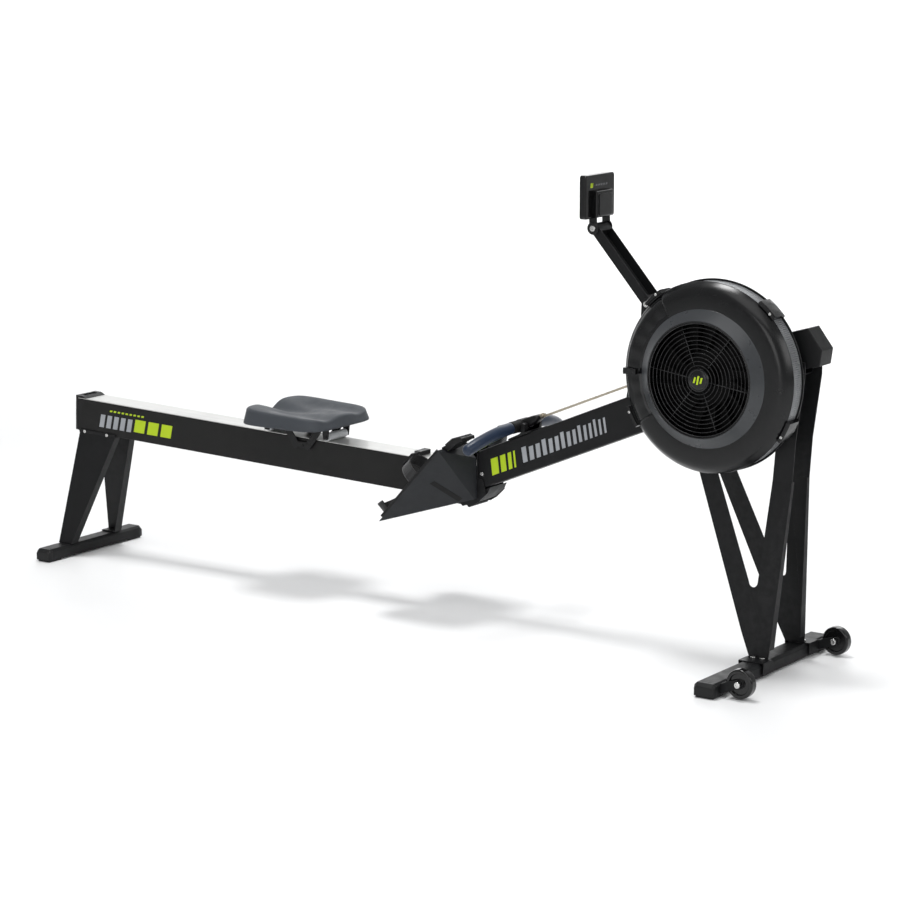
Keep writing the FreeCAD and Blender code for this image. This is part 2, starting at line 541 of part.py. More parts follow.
# ---- rail --------------------------------------------------------------------------------------
RL = (RAIL_X1 - RAIL_X0) / RC
hw = RAIL_W / 2
rb = prism_y(rail_quad(0, RL, 2.2, RAIL_H), -hw, hw)
rb = fil(rb, 2.5, along(V(RC, 0, -RS), 0.001))
rb = rb.cut(prism_y(rail_quad(-5, RL + 5, 5.2, RAIL_H - 3), -hw + 3, hw - 3))
put("rail_beam", rb)
tr = prism_y(rail_quad(0, RL, 0.0, 2.0), -hw, hw)
put("rail_track", tr)
# stops: a moulded cap over the rear end, a block at the front, an end plate in the rail's mouth
es = fuse(prism_y([rail_pt(-9, -7), rail_pt(14, -7), rail_pt(30, -0.3), rail_pt(-0.3, -0.3), rail_pt(-0.3, 96), rail_pt(-9, 96)], -hw, hw))
es = cutall(es, prism_y([rail_pt(-2, -3), rail_pt(12, -3), rail_pt(20, -12), rail_pt(-2, -12)], -27, 27))
es = fil(es, 1.5, lambda e: along(V(0, 1, 0), 0.001)(e) and e.CenterOfMass.z > RAIL_Z0 + 5)
put("rail_stops", es)
put("rail_stops", prism_y(rail_quad(RL - 201, RL - 181, -12.0, -0.3), -24, 24),
    prism_y(rail_quad(RL - 22, RL - 1, 5.5, RAIL_H - 3.3), -hw + 3.3, hw - 3.3))

# ---- rear cross foot and its two folded legs -------------------------------------------------------
put("rear_foot_bar", foot_bar(REAR_X, -REAR_HALF_Y + 18, REAR_HALF_Y - 18, 27.0, PAD, FZ1, 7))
put("rear_foot_caps", foot_cap(REAR_X, -REAR_HALF_Y + 18, -1, 27.0, PAD, FZ1, 7, PAD),
    foot_cap(REAR_X, REAR_HALF_Y - 18, 1, 27.0, PAD, FZ1, 7, PAD))
put("rear_leg_plate", fuse(prism_y(rail_quad(8, 145, RAIL_H + 0.2, RAIL_H + 3.2), -44, 44),
                           prism_y(rail_quad(8, 145, RAIL_H - 6, RAIL_H + 3.2), -46.4, -hw - .3),
                           prism_y(rail_quad(8, 145, RAIL_H - 6, RAIL_H + 3.2), hw + .3, 46.4)))
for side in (-1, 1):
    ytop, ybot = side * 46.0, side * 112.0
    zt0, zt1 = rail_pt(8, RAIL_H + 3.3)[1], rail_pt(143, RAIL_H + 3.3)[1]
    zb = FZ1 + 0.2
    t3 = -side * 3.0
    panel = loft([(-2345, ybot, zb), (-2298, ybot, zb), (-2298, ybot + t3, zb), (-2345, ybot + t3, zb)],
                 [(-2311, ytop, zt0), (-2175, ytop, zt1), (-2175, ytop + t3, zt1), (-2311, ytop + t3, zt0)])
    fl = loft([(-2301, ybot, zb), (-2298, ybot, zb), (-2298, ybot - side * 30, zb), (-2301, ybot - side * 30, zb)],
              [(-2178, ytop, zt1), (-2175, ytop, zt1), (-2175, ytop - side * 24, zt1), (-2178, ytop - side * 24, zt1)])
    foot = prism_y([(-2345, zb), (-2298, zb), (-2298, zb + 4), (-2345, zb + 4)], min(ybot, ybot - side * 34), max(ybot, ybot - side * 34))
    put("rear_leg_" + ("near" if side < 0 else "far"), fuse(panel, fl, foot))
    put("rear_bolts", bolt(-2205, side * 46.5, rail_pt(112, RAIL_H - 1.5)[1], 5.0, 3.0, side),
        bolt(-2290, side * 46.5, rail_pt(27, RAIL_H - 1.5)[1], 5.0, 3.0, side))

# ---- seat ----------------------------------------------------------------------------------------
def rrect(xc, yc, hx_, hy_, r, z, n=5):
    pts = []
    for cx, cy, a0 in ((xc + hx_ - r, yc + hy_ - r, 0), (xc - hx_ + r, yc + hy_ - r, 90),
                       (xc - hx_ + r, yc - hy_ + r, 180), (xc + hx_ - r, yc - hy_ + r, 270)):
        for i in range(n + 1):
            a_ = math.radians(a0 + 90 * i / n)
            pts.append((cx + r * math.cos(a_), cy + r * math.sin(a_), z))
    return pts


seat = loft(rrect(SEAT_X, 0, 142, 146, 46, SEAT_Z), rrect(SEAT_X, 0, 139, 143, 45, SEAT_Z + 14),
            rrect(SEAT_X, 0, 132, 137, 44, SEAT_Z + 40), rrect(SEAT_X, 0, 120, 126, 40, SEAT_Z + 46))
put("seat_top", seat)
SZ = lambda x: RAIL_Z0 - (x - RAIL_X0) * RS / RC         # top of the track at x
R_ROLL = 11.6
XF, XR = -1402.0, -1608.0
pan = prism_z([(-1626, -52), (-1384, -52), (-1384, 52), (-1626, 52)], SEAT_Z - 3.2, SEAT_Z - 0.2)
car = pan
for side in (-1, 1):
    ya, yb = sorted((side * 46.2, side * 49.2))
    v = prism_y([(-1557, SEAT_Z - 3.2), (-1408, SEAT_Z - 3.2), (-1412, 466), (-1458, 404), (-1472, 404), (-1476, 412),
                 (-1496, 412), (-1500, 404), (-1514, 404), (-1553, 466)], ya, yb)
    v = v.cut(prism_y([(-1528, 463), (-1438, 463), (-1471, 420), (-1495, 420)], ya - 2, yb + 2))
    v = fuse(v, prism_y([(-1500, 424), (-1466, 424), (-1466, 408), (-1500, 408)], ya, yb))
    v = v.cut(cyl(-1483, -70, 413, 4.05, 140))
    for xx in (XF, XR):
        zc = SZ(xx) + R_ROLL + 0.4
        lug = prism_y([(xx - 12, SEAT_Z - 3.2), (xx + 12, SEAT_Z - 3.2), (xx + 8, zc - 7), (xx - 8, zc - 7)], ya, yb)
        v = fuse(v, lug.cut(cyl(xx, -70, zc, 4.0, 140)))
    car = car.fuse(v)
for xx in (XF, XR):
    car = car.fuse(cyl(xx, -51, SZ(xx) + R_ROLL + 0.4, 4.0, 102))
for side in (-1, 1):
    ya, yb = sorted((side * 38.0, side * 51.0))
    gx_ = cyl(-1483, ya, 413, 4.0, yb - ya)
put("seat_carriage", car.removeSplitter())
for nm, xx in (("front", XF), ("rear", XR)):
    zc = SZ(xx) + R_ROLL + 0.4
    rl = tube(xx, -40, zc, R_ROLL, 4.05, 80)
    rl = rl.cut(tube(xx, -4, zc, R_ROLL + 2, R_ROLL - 1.2, 8))
    put("seat_roller_" + nm, rl)
for side in (-1, 1):
    ya, yb = sorted((side * 42.7, side * 46.1))
    put("seat_guides", fuse(prism_y([(-1494, 405), (-1472, 405), (-1468, 413), (-1472, 421), (-1494, 421), (-1498, 413)], ya, yb),
                            cyl(-1483, min(side * 45, side * 50.5), 413, 4.0, 5.5)))

# ---- monitor arm -----------------------------------------------------------------------------------
AX, AZ = -378.0, 900.0                         # arm pivot
MX, MZ = -540.0, 1083.0                        # monitor pivot
AY0, AY1 = -37.0, 21.0                         # arm width
AA = math.atan2(MZ - AZ, MX - AX)
ac, as_ = math.cos(AA), math.sin(AA)
AL = math.hypot(MX - AX, MZ - AZ)


def arm_pt(s, h):
    return (AX + s * ac - h * as_, AZ + s * as_ + h * ac)


def arm_poly(s0, s1, h0, h1):
    return [arm_pt(s0, h0), arm_pt(s1, h0), arm_pt(s1, h1), arm_pt(s0, h1)]


am = prism_y(arm_poly(0, AL, -13, 13), AY0, AY1).fuse(cyl(AX, AY0, AZ, 13, AY1 - AY0)).fuse(cyl(MX, AY0, MZ, 13, AY1 - AY0))
am = am.removeSplitter().cut(prism_y(arm_poly(18, AL - 18, -20, 10), AY0 + 3, AY1 - 3))
am = cutall(am, cyl(AX, -80, AZ, 5.05, 160), cyl(MX, -80, MZ, 5.05, 160))
put("monitor_arm", am)
post = prism_y([(-404, boom_top(-404) + .1), (-348, boom_top(-348) + .1), (-352, 740), (-363, 902), (-366, 911), (-374, 916),
                (-386, 914), (-393, 905), (-400, 740)], AY0 - 4, AY1 + 4)
post = cutall(post, prism_y([(-420, 722), (-340, 722), (-340, 930), (-420, 930)], AY0 - .5, AY1 + .5),
              prism_y([(-420, 640), (-340, 640), (-340, 717), (-420, 717)], AY0 - .5, AY1 + .5),
              cyl(AX, -80, AZ, 5.0, 160))
put("arm_bracket", post)
put("arm_pins", cyl(AX, AY0 - 4, AZ, 4.98, AY1 - AY0 + 8), bolt(AX, AY0 - 4.05, AZ, 8, 4.5, -1), bolt(AX, AY1 + 4.05, AZ, 8, 4.5, 1))

# ---- monitor -----------------------------------------------------------------------------------------
CY0, CY1, CZ0, CZ1 = -80.0, 60.0, 1108.0, 1221.0
CYM = (CY0 + CY1) / 2
case = box(-552, CY0, CZ0, -538, CY1, CZ1)
case = fil(case, 8.0, along(V(1, 0, 0), 0.001))
case = fil(case, 4.0, lambda e: abs(e.BoundBox.XMin + 538) < 1e-3 and abs(e.BoundBox.XMax + 538) < 1e-3)
case = case.cut(box(-560, CY0 + 3, CZ0 + 3, -541, CY1 - 3, CZ1 - 3))
batt = box(-538.5, CYM - 38, 1112, -523, CYM + 38, 1180)
batt = fil(batt, 5.0, lambda e: abs(e.BoundBox.XMin + 523) < 1e-3 and abs(e.BoundBox.XMax + 523) < 1e-3)
batt = batt.cut(box(-545, CYM - 34, 1116, -526, CYM + 34, 1176))
case = case.cut(box(-560, CYM - 34, 1116, -530, CYM + 34, 1176))
case = case.fuse(batt)
for ya in (AY0 - 4.6, AY1 + 0.6):
    ear = prism_y([(-552, 1112), (-530, 1112), (-529, 1083), (-534, 1072), (-546, 1072), (-551.5, 1083)], ya, ya + 4).fuse(
        cyl(MX, ya, MZ, 12.5, 4))
    case = case.fuse(ear)
case = case.removeSplitter().cut(cyl(MX, -80, MZ, 5.0, 160))
put("monitor_case", case)
put("monitor_pin", cyl(MX, AY0 - 4.6, MZ, 4.98, AY1 - AY0 + 9.2), bolt(MX, AY0 - 4.65, MZ, 8, 4.5, -1), bolt(MX, AY1 + 4.65, MZ, 8, 4.5, 1))
put("battery_cover", fil(box(-522.9, CYM - 30, 1118, -520.9, CYM + 30, 1172), 4.0, along(V(1, 0, 0), 0.001)))
bez = fil(box(-557, CY0, CZ0, -552.05, CY1, CZ1), 8.0, along(V(1, 0, 0), 0.001))
bez = bez.cut(box(-560, -48, 1124, -550, 48, 1209))
BTN = [1128.0 + 19.0 * i for i in range(5)]
for zc in BTN:
    bez = bez.cut(box(-560, -72, zc - 6, -550, -58, zc + 6))
put("monitor_bezel", bez)
put("monitor_screen", box(-552.0, -52, 1120, -549.5, 52, 1213))
for i, zc in enumerate(BTN):
    put("monitor_button_%d" % (i + 1), fil(box(-559.2, -71.7, zc - 5.7, -550.8, -58.3, zc + 5.7), 1.2,
                                           lambda e: abs(e.BoundBox.XMin + 559.2) < 1e-3 and abs(e.BoundBox.XMax + 559.2) < 1e-3))

MERGE = {"strap_buckles_near": "foot_strap_near", "strap_buckles_far": "foot_strap_far",
         "foot_board_near": "foot_boards", "foot_board_far": "foot_boards",
         "joint_bracket": "boom_brackets",
         "boom_end_cap": "boom_end_caps", "boom_nose": "boom_end_caps",
         "caster_axles": "frame_bolts", "arm_pins": "frame_bolts",
         "leg_brackets": "front_foot_brackets", "caster_arms": "front_foot_brackets",
         "rear_leg_near": "rear_legs", "rear_leg_far": "rear_legs", "rear_leg_plate": "rear_legs",
         "chain_return": "chain", "handle_hub": "handle_bar", "seat_guides": "seat_carriage",
         "footrest_near": "footrests", "footrest_far": "footrests", "hub_badge": "grill"}
out = {}
for k, v in NODES.items():
    out.setdefault(MERGE.get(k, k), []).extend(v)
for k, v in out.items():
    solids = []
    for s in v:
        for so in s.Solids:
            so = so.copy()
            so.translate(V(SX, SY, 0))
            solids.append(so)
    shape = solids[0] if len(solids) == 1 else Part.makeCompound(solids)
    shape.exportStep("parts/%s.step" % k)
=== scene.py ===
import bpy, bmesh, math, json, random
from mathutils import Vector, Matrix, noise

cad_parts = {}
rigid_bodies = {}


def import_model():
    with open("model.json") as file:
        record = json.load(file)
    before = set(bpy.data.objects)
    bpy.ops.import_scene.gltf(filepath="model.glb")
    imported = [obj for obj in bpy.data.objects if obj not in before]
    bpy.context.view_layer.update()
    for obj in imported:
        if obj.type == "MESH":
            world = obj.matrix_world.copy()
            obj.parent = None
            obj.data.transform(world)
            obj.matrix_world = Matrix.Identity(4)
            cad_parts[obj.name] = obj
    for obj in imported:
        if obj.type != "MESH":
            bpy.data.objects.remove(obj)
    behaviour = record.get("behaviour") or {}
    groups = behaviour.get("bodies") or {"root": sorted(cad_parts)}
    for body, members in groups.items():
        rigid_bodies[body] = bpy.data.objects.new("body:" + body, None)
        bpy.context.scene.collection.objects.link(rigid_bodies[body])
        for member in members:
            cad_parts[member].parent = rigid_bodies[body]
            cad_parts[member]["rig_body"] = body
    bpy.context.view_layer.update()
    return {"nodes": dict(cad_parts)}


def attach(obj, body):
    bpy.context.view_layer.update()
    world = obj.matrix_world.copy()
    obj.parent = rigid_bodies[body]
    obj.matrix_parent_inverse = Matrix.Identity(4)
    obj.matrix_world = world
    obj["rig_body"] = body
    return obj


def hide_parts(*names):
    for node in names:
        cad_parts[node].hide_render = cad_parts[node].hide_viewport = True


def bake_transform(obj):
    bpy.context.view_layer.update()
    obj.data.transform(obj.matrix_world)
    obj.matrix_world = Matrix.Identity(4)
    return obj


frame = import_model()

SX, SY = 1.115476, 0.075          # layout origin (over the front foot, on the rail line) in the row frame
scene = bpy.context.scene


def P(x, y, z):
    """Layout millimetres to row-frame metres."""
    return Vector((x / 1000 + SX, y / 1000 + SY, z / 1000))


# ------------------------------------------------------------------ materials
MATS = {}


class NT:
    def __init__(self, name):
        m = bpy.data.materials.new(name)
        m.use_nodes = True
        self.m, self.t = m, m.node_tree
        self.n, self.l = self.t.nodes, self.t.links
        self.b = self.n["Principled BSDF"]
        MATS[name] = m
        self.co = self.n.new("ShaderNodeTexCoord").outputs["Object"]

    def set(self, **k):
        for a, v in k.items():
            self.b.inputs[a.replace("_", " ")].default_value = v

    def mapped(self, scale=(1, 1, 1), rot=(0, 0, 0)):
        mp = self.n.new("ShaderNodeMapping")
        mp.inputs["Scale"].default_value = scale
        mp.inputs["Rotation"].default_value = rot
        self.l.new(self.co, mp.inputs["Vector"])
        return mp.outputs[0]

    def noise(self, scale, detail=4, rough=0.55, vec=None, dist=0.0):
        nd = self.n.new("ShaderNodeTexNoise")
        nd.inputs["Scale"].default_value = scale
        nd.inputs["Detail"].default_value = detail
        nd.inputs["Roughness"].default_value = rough
        nd.inputs["Distortion"].default_value = dist
        self.l.new(vec if vec is not None else self.co, nd.inputs["Vector"])
        return nd.outputs["Fac"]

    def voronoi(self, scale, feature="F1", vec=None, rnd=1.0):
        nd = self.n.new("ShaderNodeTexVoronoi")
        nd.feature = feature
        nd.inputs["Scale"].default_value = scale
        nd.inputs["Randomness"].default_value = rnd
        self.l.new(vec if vec is not None else self.co, nd.inputs["Vector"])
        return nd.outputs["Distance"]

    def ramp(self, fac, stops):
        r = self.n.new("ShaderNodeValToRGB")
        cr = r.color_ramp
        while len(cr.elements) < len(stops):
            cr.elements.new(0.5)
        for e, (p, c) in zip(cr.elements, stops):
            e.position = p
            e.color = c if len(c) == 4 else (*c, 1)
        self.l.new(fac, r.inputs[0])
        return r.outputs[0]

    def maprange(self, fac, a, b, c, d):
        r = self.n.new("ShaderNodeMapRange")
        for i, v in zip(("From Min", "From Max", "To Min", "To Max"), (a, b, c, d)):
            r.inputs[i].default_value = v
        self.l.new(fac, r.inputs["Value"])
        return r.outputs["Result"]

    def math(self, op, a, b=None, clamp=False):
        r = self.n.new("ShaderNodeMath")
        r.operation = op
        r.use_clamp = clamp
        for i, v in enumerate((a, b)):
            if v is None:
                continue
            if isinstance(v, (int, float)):
                r.inputs[i].default_value = v
            else:
                self.l.new(v, r.inputs[i])
        return r.outputs[0]

    def mix(self, fac, a, b):
        r = self.n.new("ShaderNodeMix")
        r.data_type = "RGBA"
        for i, v in ((0, fac), (6, a), (7, b)):
            if isinstance(v, (int, float)):
                r.inputs[i].default_value = v
            elif isinstance(v, tuple):
                r.inputs[i].default_value = v if len(v) == 4 else (*v, 1)
            else:
                self.l.new(v, r.inputs[i])
        return r.outputs[2]

    def bump(self, h, strength, dist, prev=None):
        r = self.n.new("ShaderNodeBump")
        r.inputs["Strength"].default_value = strength
        r.inputs["Distance"].default_value = dist
        self.l.new(h, r.inputs["Height"])
        if prev is not None:
            self.l.new(prev, r.inputs["Normal"])
        self.l.new(r.outputs[0], self.b.inputs["Normal"])
        return r.outputs[0]

    def color(self, sock):
        self.l.new(sock, self.b.inputs["Base Color"])

    def rough(self, sock):
        self.l.new(sock, self.b.inputs["Roughness"])

    def edge(self):
        """Pointiness: lighter on worn edges, darker in creases."""
        g = self.n.new("ShaderNodeNewGeometry")
        return g.outputs["Pointiness"]


def plain(name, col, rough, var=0.12, scale=9, grain=1800, gstr=0.1, gdist=0.0002, rvar=0.08, metallic=0.0,
          spec=0.5, coat=0.0, wear=0.0, coat_rough=0.2, voro=False):
    """Moulded or coated surface: faint tone drift, grain bump, uneven sheen and lightly worn edges."""
    k = NT(name)
    big = k.noise(scale, 3)
    c0 = tuple(v * (1 - var) for v in col)
    c1 = tuple(min(1, v * (1 + var)) for v in col)
    base = k.ramp(big, [(0.3, c0), (0.7, c1)])
    if wear:
        e = k.maprange(k.edge(), 0.53, 0.62, 0.0, wear)
        nz = k.noise(60, 5)
        e2 = k.math("MULTIPLY", e, k.maprange(nz, 0.35, 0.65, 0, 1), True)
        base = k.mix(e2, base, tuple(min(1, v * 2.6 + 0.05) for v in col))
    k.color(base)
    smear = k.noise(scale * 3.1, 5, 0.65, dist=0.6)
    k.rough(k.maprange(smear, 0.3, 0.7, max(0.02, rough - rvar), rough + rvar))
    g = k.voronoi(grain, "SMOOTH_F1") if voro else k.noise(grain, 2, 0.6)
    pb = k.bump(k.noise(scale * 6, 2), gstr * 0.35, 0.0006)
    k.bump(g, gstr, gdist, pb)
    k.set(Metallic=metallic, **{"Specular_IOR_Level": spec, "Coat_Weight": coat, "Coat_Roughness": coat_rough})
    return k.m


plain("powder_black", (0.0086, 0.0089, 0.0096), 0.48, var=0.08, grain=2600, gstr=0.16, gdist=0.0002, wear=0.10, spec=0.20)
plain("powder_wedge", (0.0165, 0.0180, 0.0205), 0.50, var=0.07, grain=2600, gstr=0.18, gdist=0.0002, wear=0.10, spec=0.28)
plain("anodised_black", (0.0085, 0.0083, 0.0082), 0.44, var=0.08, grain=3200, gstr=0.1, gdist=0.0001, wear=0.08, spec=0.25)
plain("plastic_black", (0.0065, 0.0067, 0.0072), 0.42, var=0.08, grain=1500, gstr=0.2, gdist=0.00025, spec=0.30, voro=True, wear=0.05)
plain("plastic_satin", (0.0040, 0.0043, 0.0048), 0.24, var=0.06, grain=2200, gstr=0.05, gdist=0.00012, spec=0.36, rvar=0.04)
plain("plastic_cone", (0.034, 0.037, 0.041), 0.30, var=0.06, grain=2200, gstr=0.08, gdist=0.00015, spec=0.5, rvar=0.04)
plain("plastic_gloss", (0.0030, 0.0030, 0.0033), 0.16, var=0.1, grain=900, gstr=0.03, gdist=0.0001, spec=0.5, rvar=0.04)
plain("rubber_black", (0.0060, 0.0060, 0.0064), 0.55, grain=1400, gstr=0.3, gdist=0.0003, spec=0.25, voro=True)
plain("seat_slate", (0.055, 0.061, 0.070), 0.55, var=0.04, grain=1700, gstr=0.18, gdist=0.0002, spec=0.25, voro=True)
plain("grip_navy", (0.0120, 0.0240, 0.052), 0.38, grain=1600, gstr=0.1, gdist=0.00015, spec=0.42, rvar=0.05)
plain("wheel_white", (0.60, 0.615, 0.63), 0.32, var=0.04, grain=900, gstr=0.05, gdist=0.0002, spec=0.5)
plain("lime_print", (0.50, 0.68, 0.016), 0.42, var=0.05, grain=3000, gstr=0.06, gdist=0.0001, spec=0.3)
plain("silver_print", (0.36, 0.375, 0.40), 0.40, var=0.06, grain=3000, gstr=0.06, gdist=0.0001, spec=0.4, metallic=0.0)
plain("key_grey", (0.12, 0.125, 0.13), 0.5, grain=1600, gstr=0.2, gdist=0.0002)
plain("wire_black", (0.010, 0.010, 0.011), 0.28, grain=2500, gstr=0.08, gdist=0.0001, spec=0.5)
plain("fan_dark", (0.0022, 0.0022, 0.0024), 0.5, grain=900, gstr=0.2, gdist=0.0003, spec=0.1)
plain("fastener_dark", (0.05, 0.05, 0.052), 0.3, grain=900, gstr=0.1, gdist=0.0001, spec=0.5, metallic=0.7)


def brushed(name, col, rough, axis=0, stretch=220.0, fine=900.0, metallic=1.0, dirt=0.0, streak=0.10):
    k = NT(name)
    sc = [fine, fine, fine]
    sc[axis] = fine / stretch
    v = k.mapped(tuple(sc))
    lines = k.noise(1.0, 3, 0.7, v)
    broad = k.noise(1.0, 2, 0.6, k.mapped(tuple(s / 14 for s in sc)))
    base = k.ramp(lines, [(0.25, tuple(c * (1 - streak) for c in col)), (0.75, tuple(min(1, c * (1 + streak)) for c in col))])
    base = k.mix(k.maprange(broad, 0.35, 0.65, 0.0, 0.35), base, tuple(c * 0.85 for c in col))
    if dirt:
        d = k.maprange(k.noise(7.0, 5, 0.6), 0.45, 0.7, 0.0, dirt)
        base = k.mix(d, base, tuple(c * 0.55 for c in col))
    k.color(base)
    k.rough(k.maprange(lines, 0.2, 0.8, rough - 0.06, rough + 0.08))
    k.bump(lines, 0.25, 0.00006)
    k.set(Metallic=metallic, **{"Specular_IOR_Level": 0.5})
    return k.m


brushed("track_steel", (0.60, 0.60, 0.585), 0.36, axis=0, dirt=0.25)
brushed("bolt_steel", (0.66, 0.66, 0.65), 0.24, axis=1, fine=600, stretch=3)
brushed("nickel_chain", (0.56, 0.50, 0.40), 0.30, axis=0, fine=500, stretch=4, dirt=0.5)
brushed("disc_steel", (0.42, 0.42, 0.43), 0.35, axis=2, fine=500, stretch=3)


def perforated():
    k = NT("perforated_ring")
    # round holes in a staggered grid, worked out along the rim (angle) and across it (y)
    sep = k.n.new("ShaderNodeSeparateXYZ")
    sub = k.n.new("ShaderNodeVectorMath")
    sub.operation = "SUBTRACT"
    c = P(-160, -90, 740)
    sub.inputs[1].default_value = c
    k.l.new(k.co, sub.inputs[0])
    k.l.new(sub.outputs[0], sep.inputs[0])
    ang = k.math("ARCTAN2", sep.outputs["Z"], sep.outputs["X"])
    u = k.math("MULTIPLY", ang, 240.0 / 3.0)             # 3 mm pitch along the rim
    v = k.math("MULTIPLY", sep.outputs["Y"], 1000 / 2.6)
    row = k.math("FLOOR", v)
    off = k.math("MULTIPLY", k.math("MODULO", row, 2.0), 0.5)
    fu = k.math("SUBTRACT", k.math("FRACT", k.math("ADD", u, off)), 0.5)
    fv = k.math("SUBTRACT", k.math("FRACT", v), 0.5)
    d = k.math("SQRT", k.math("ADD", k.math("MULTIPLY", fu, fu), k.math("MULTIPLY", fv, fv)))
    hole = k.maprange(d, 0.27, 0.33, 1.0, 0.0)
    # the hole pattern is real, but the hole dots are coloured near-black: painted shade standing in for the dark inside
    # of the ring seen through them
    base = k.mix(hole, k.ramp(k.noise(40, 3), [(0.3, (0.33, 0.34, 0.355)), (0.7, (0.37, 0.38, 0.39))]), (0.035, 0.035, 0.037))
    k.color(base)
    k.rough(k.maprange(hole, 0, 1, 0.38, 0.85))
    k.bump(hole, -0.5, 0.0005)
    k.set(Metallic=0.35)
    return k.m


perforated()


def webbing():
    k = NT("webbing")
    v = k.mapped((1, 1, 1))
    w = k.n.new("ShaderNodeTexWave")
    w.wave_type = "BANDS"
    w.bands_direction = "Y"
    w.inputs["Scale"].default_value = 190
    w.inputs["Distortion"].default_value = 1.5
    k.l.new(v, w.inputs["Vector"])
    w2 = k.n.new("ShaderNodeTexWave")
    w2.bands_direction = "DIAGONAL"
    w2.inputs["Scale"].default_value = 240
    k.l.new(v, w2.inputs["Vector"])
    h = k.math("MULTIPLY", w.outputs["Fac"], w2.outputs["Fac"])
    k.color(k.ramp(h, [(0.1, (0.008, 0.008, 0.009)), (0.8, (0.032, 0.033, 0.035))]))
    k.rough(k.maprange(h, 0, 1, 0.75, 0.9))
    k.bump(h, 0.6, 0.0006)
    k.set(**{"Sheen_Weight": 0.25})
    return k.m


webbing()


def lcd():
    k = NT("lcd")
    k.color(k.ramp(k.noise(14, 3), [(0.3, (0.16, 0.19, 0.16)), (0.7, (0.19, 0.22, 0.19))]))
    k.rough(k.maprange(k.noise(30, 4), 0.3, 0.7, 0.10, 0.18))
    k.bump(k.noise(900, 2), 0.03, 0.0001)
    k.set(**{"Coat_Weight": 0.6, "Coat_Roughness": 0.06})
    return k.m


lcd()

# ------------------------------------------------------------------ mesh helpers
def mesh_obj(name, verts, faces, mat, smooth=True):
    me = bpy.data.meshes.new(name)
    me.from_pydata([tuple(v) for v in verts], [], faces)
    me.validate()
    me.update()
    o = bpy.data.objects.new(name, me)
    scene.collection.objects.link(o)
    if mat:
        me.materials.append(MATS[mat])
    if smooth:
        for p in me.polygons:
            p.use_smooth = True
    return o


def from_bm(name, bm, mat, smooth=True):
    bmesh.ops.recalc_face_normals(bm, faces=bm.faces)
    me = bpy.data.meshes.new(name)
    bm.to_mesh(me)
    bm.free()
    o = bpy.data.objects.new(name, me)
    scene.collection.objects.link(o)
    if mat:
        me.materials.append(MATS[mat])
    if smooth:
        for p in me.polygons:
            p.use_smooth = True
    return o


def bevel(o, w, seg=3, ang=32, weighted=True):
    b = o.modifiers.new("bevel", "BEVEL")
    b.width = w
    b.segments = seg
    b.limit_method = "ANGLE"
    b.angle_limit = math.radians(ang)
    b.harden_normals = False
    b.use_clamp_overlap = True
    if weighted:
        w_ = o.modifiers.new("wn", "WEIGHTED_NORMAL")
        w_.keep_sharp = False
    return o


def auto_smooth(me, ang=32):
    """Marks creases sharper than ang, so that only rounded surfaces shade smoothly."""
    bm = bmesh.new()
    bm.from_mesh(me)
    for e in bm.edges:
        e.smooth = not (len(e.link_faces) == 2 and e.calc_face_angle(0) > math.radians(ang))
    for f in bm.faces:
        f.smooth = True
    bm.to_mesh(me)
    bm.free()


def refine(node, mat, width=0.0008, seg=2, ang=30, keep=None, name=None, mats=None):
    """A finished copy of a CAD node: merged, with flat faces joined and its edges rounded."""
    src = frame["nodes"][node]
    bm = bmesh.new()
    bm.from_mesh(src.data)
    bmesh.ops.remove_doubles(bm, verts=bm.verts, dist=2e-6)
    bmesh.ops.dissolve_limit(bm, angle_limit=math.radians(0.6), verts=bm.verts, edges=bm.edges,
                             delimit={"NORMAL"})
    bad = [f for f in bm.faces if f.calc_area() < 1e-11]
    if bad:
        bmesh.ops.dissolve_degenerate(bm, dist=1e-6, edges=bm.edges)
    o = from_bm(name or node + "_v", bm, mat)
    auto_smooth(o.data, ang)
    if width:
        bevel(o, width, seg, ang)
    for m_ in (mats or []):
        o.data.materials.append(MATS[m_])
    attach(o, src["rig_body"])
    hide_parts(node)
    return o


def paint(node, mat):
    o = frame["nodes"][node]
    o.data.materials.clear()
    o.data.materials.append(MATS[mat])
    o.data.update()


def assign(o, idx, test):
    for p in o.data.polygons:
        if test(p.center, p.normal):
            p.material_index = idx


def revolve(name, prof, mat, cx=-160.0, cz=740.0, n=144, a0=0.0, a1=360.0, mats=None):
    """Profile [(r, y)] in layout mm turned about the fan's axis; open ends stay open."""
    full = abs(a1 - a0 - 360) < 1e-6
    m = n if full else n + 1
    vs, fs = [], []
    for i in range(m):
        a = math.radians(a0 + (a1 - a0) * i / n)
        for r, y in prof:
            vs.append(P(cx + r * math.cos(a), y, cz + r * math.sin(a)))
    k = len(prof)
    for i in range(n):
        j = (i + 1) % m
        for q in range(k):
            q2 = (q + 1) % k
            fs.append((i * k + q, j * k + q, j * k + q2, i * k + q2))
    if not full:
        fs.append(tuple(range(k)))
        fs.append(tuple(range((m - 1) * k, m * k))[::-1])
    o = mesh_obj(name, vs, fs, mat)
    bm = bmesh.new()
    bm.from_mesh(o.data)
    bmesh.ops.recalc_face_normals(bm, faces=bm.faces)
    bm.to_mesh(o.data)
    bm.free()
    return o


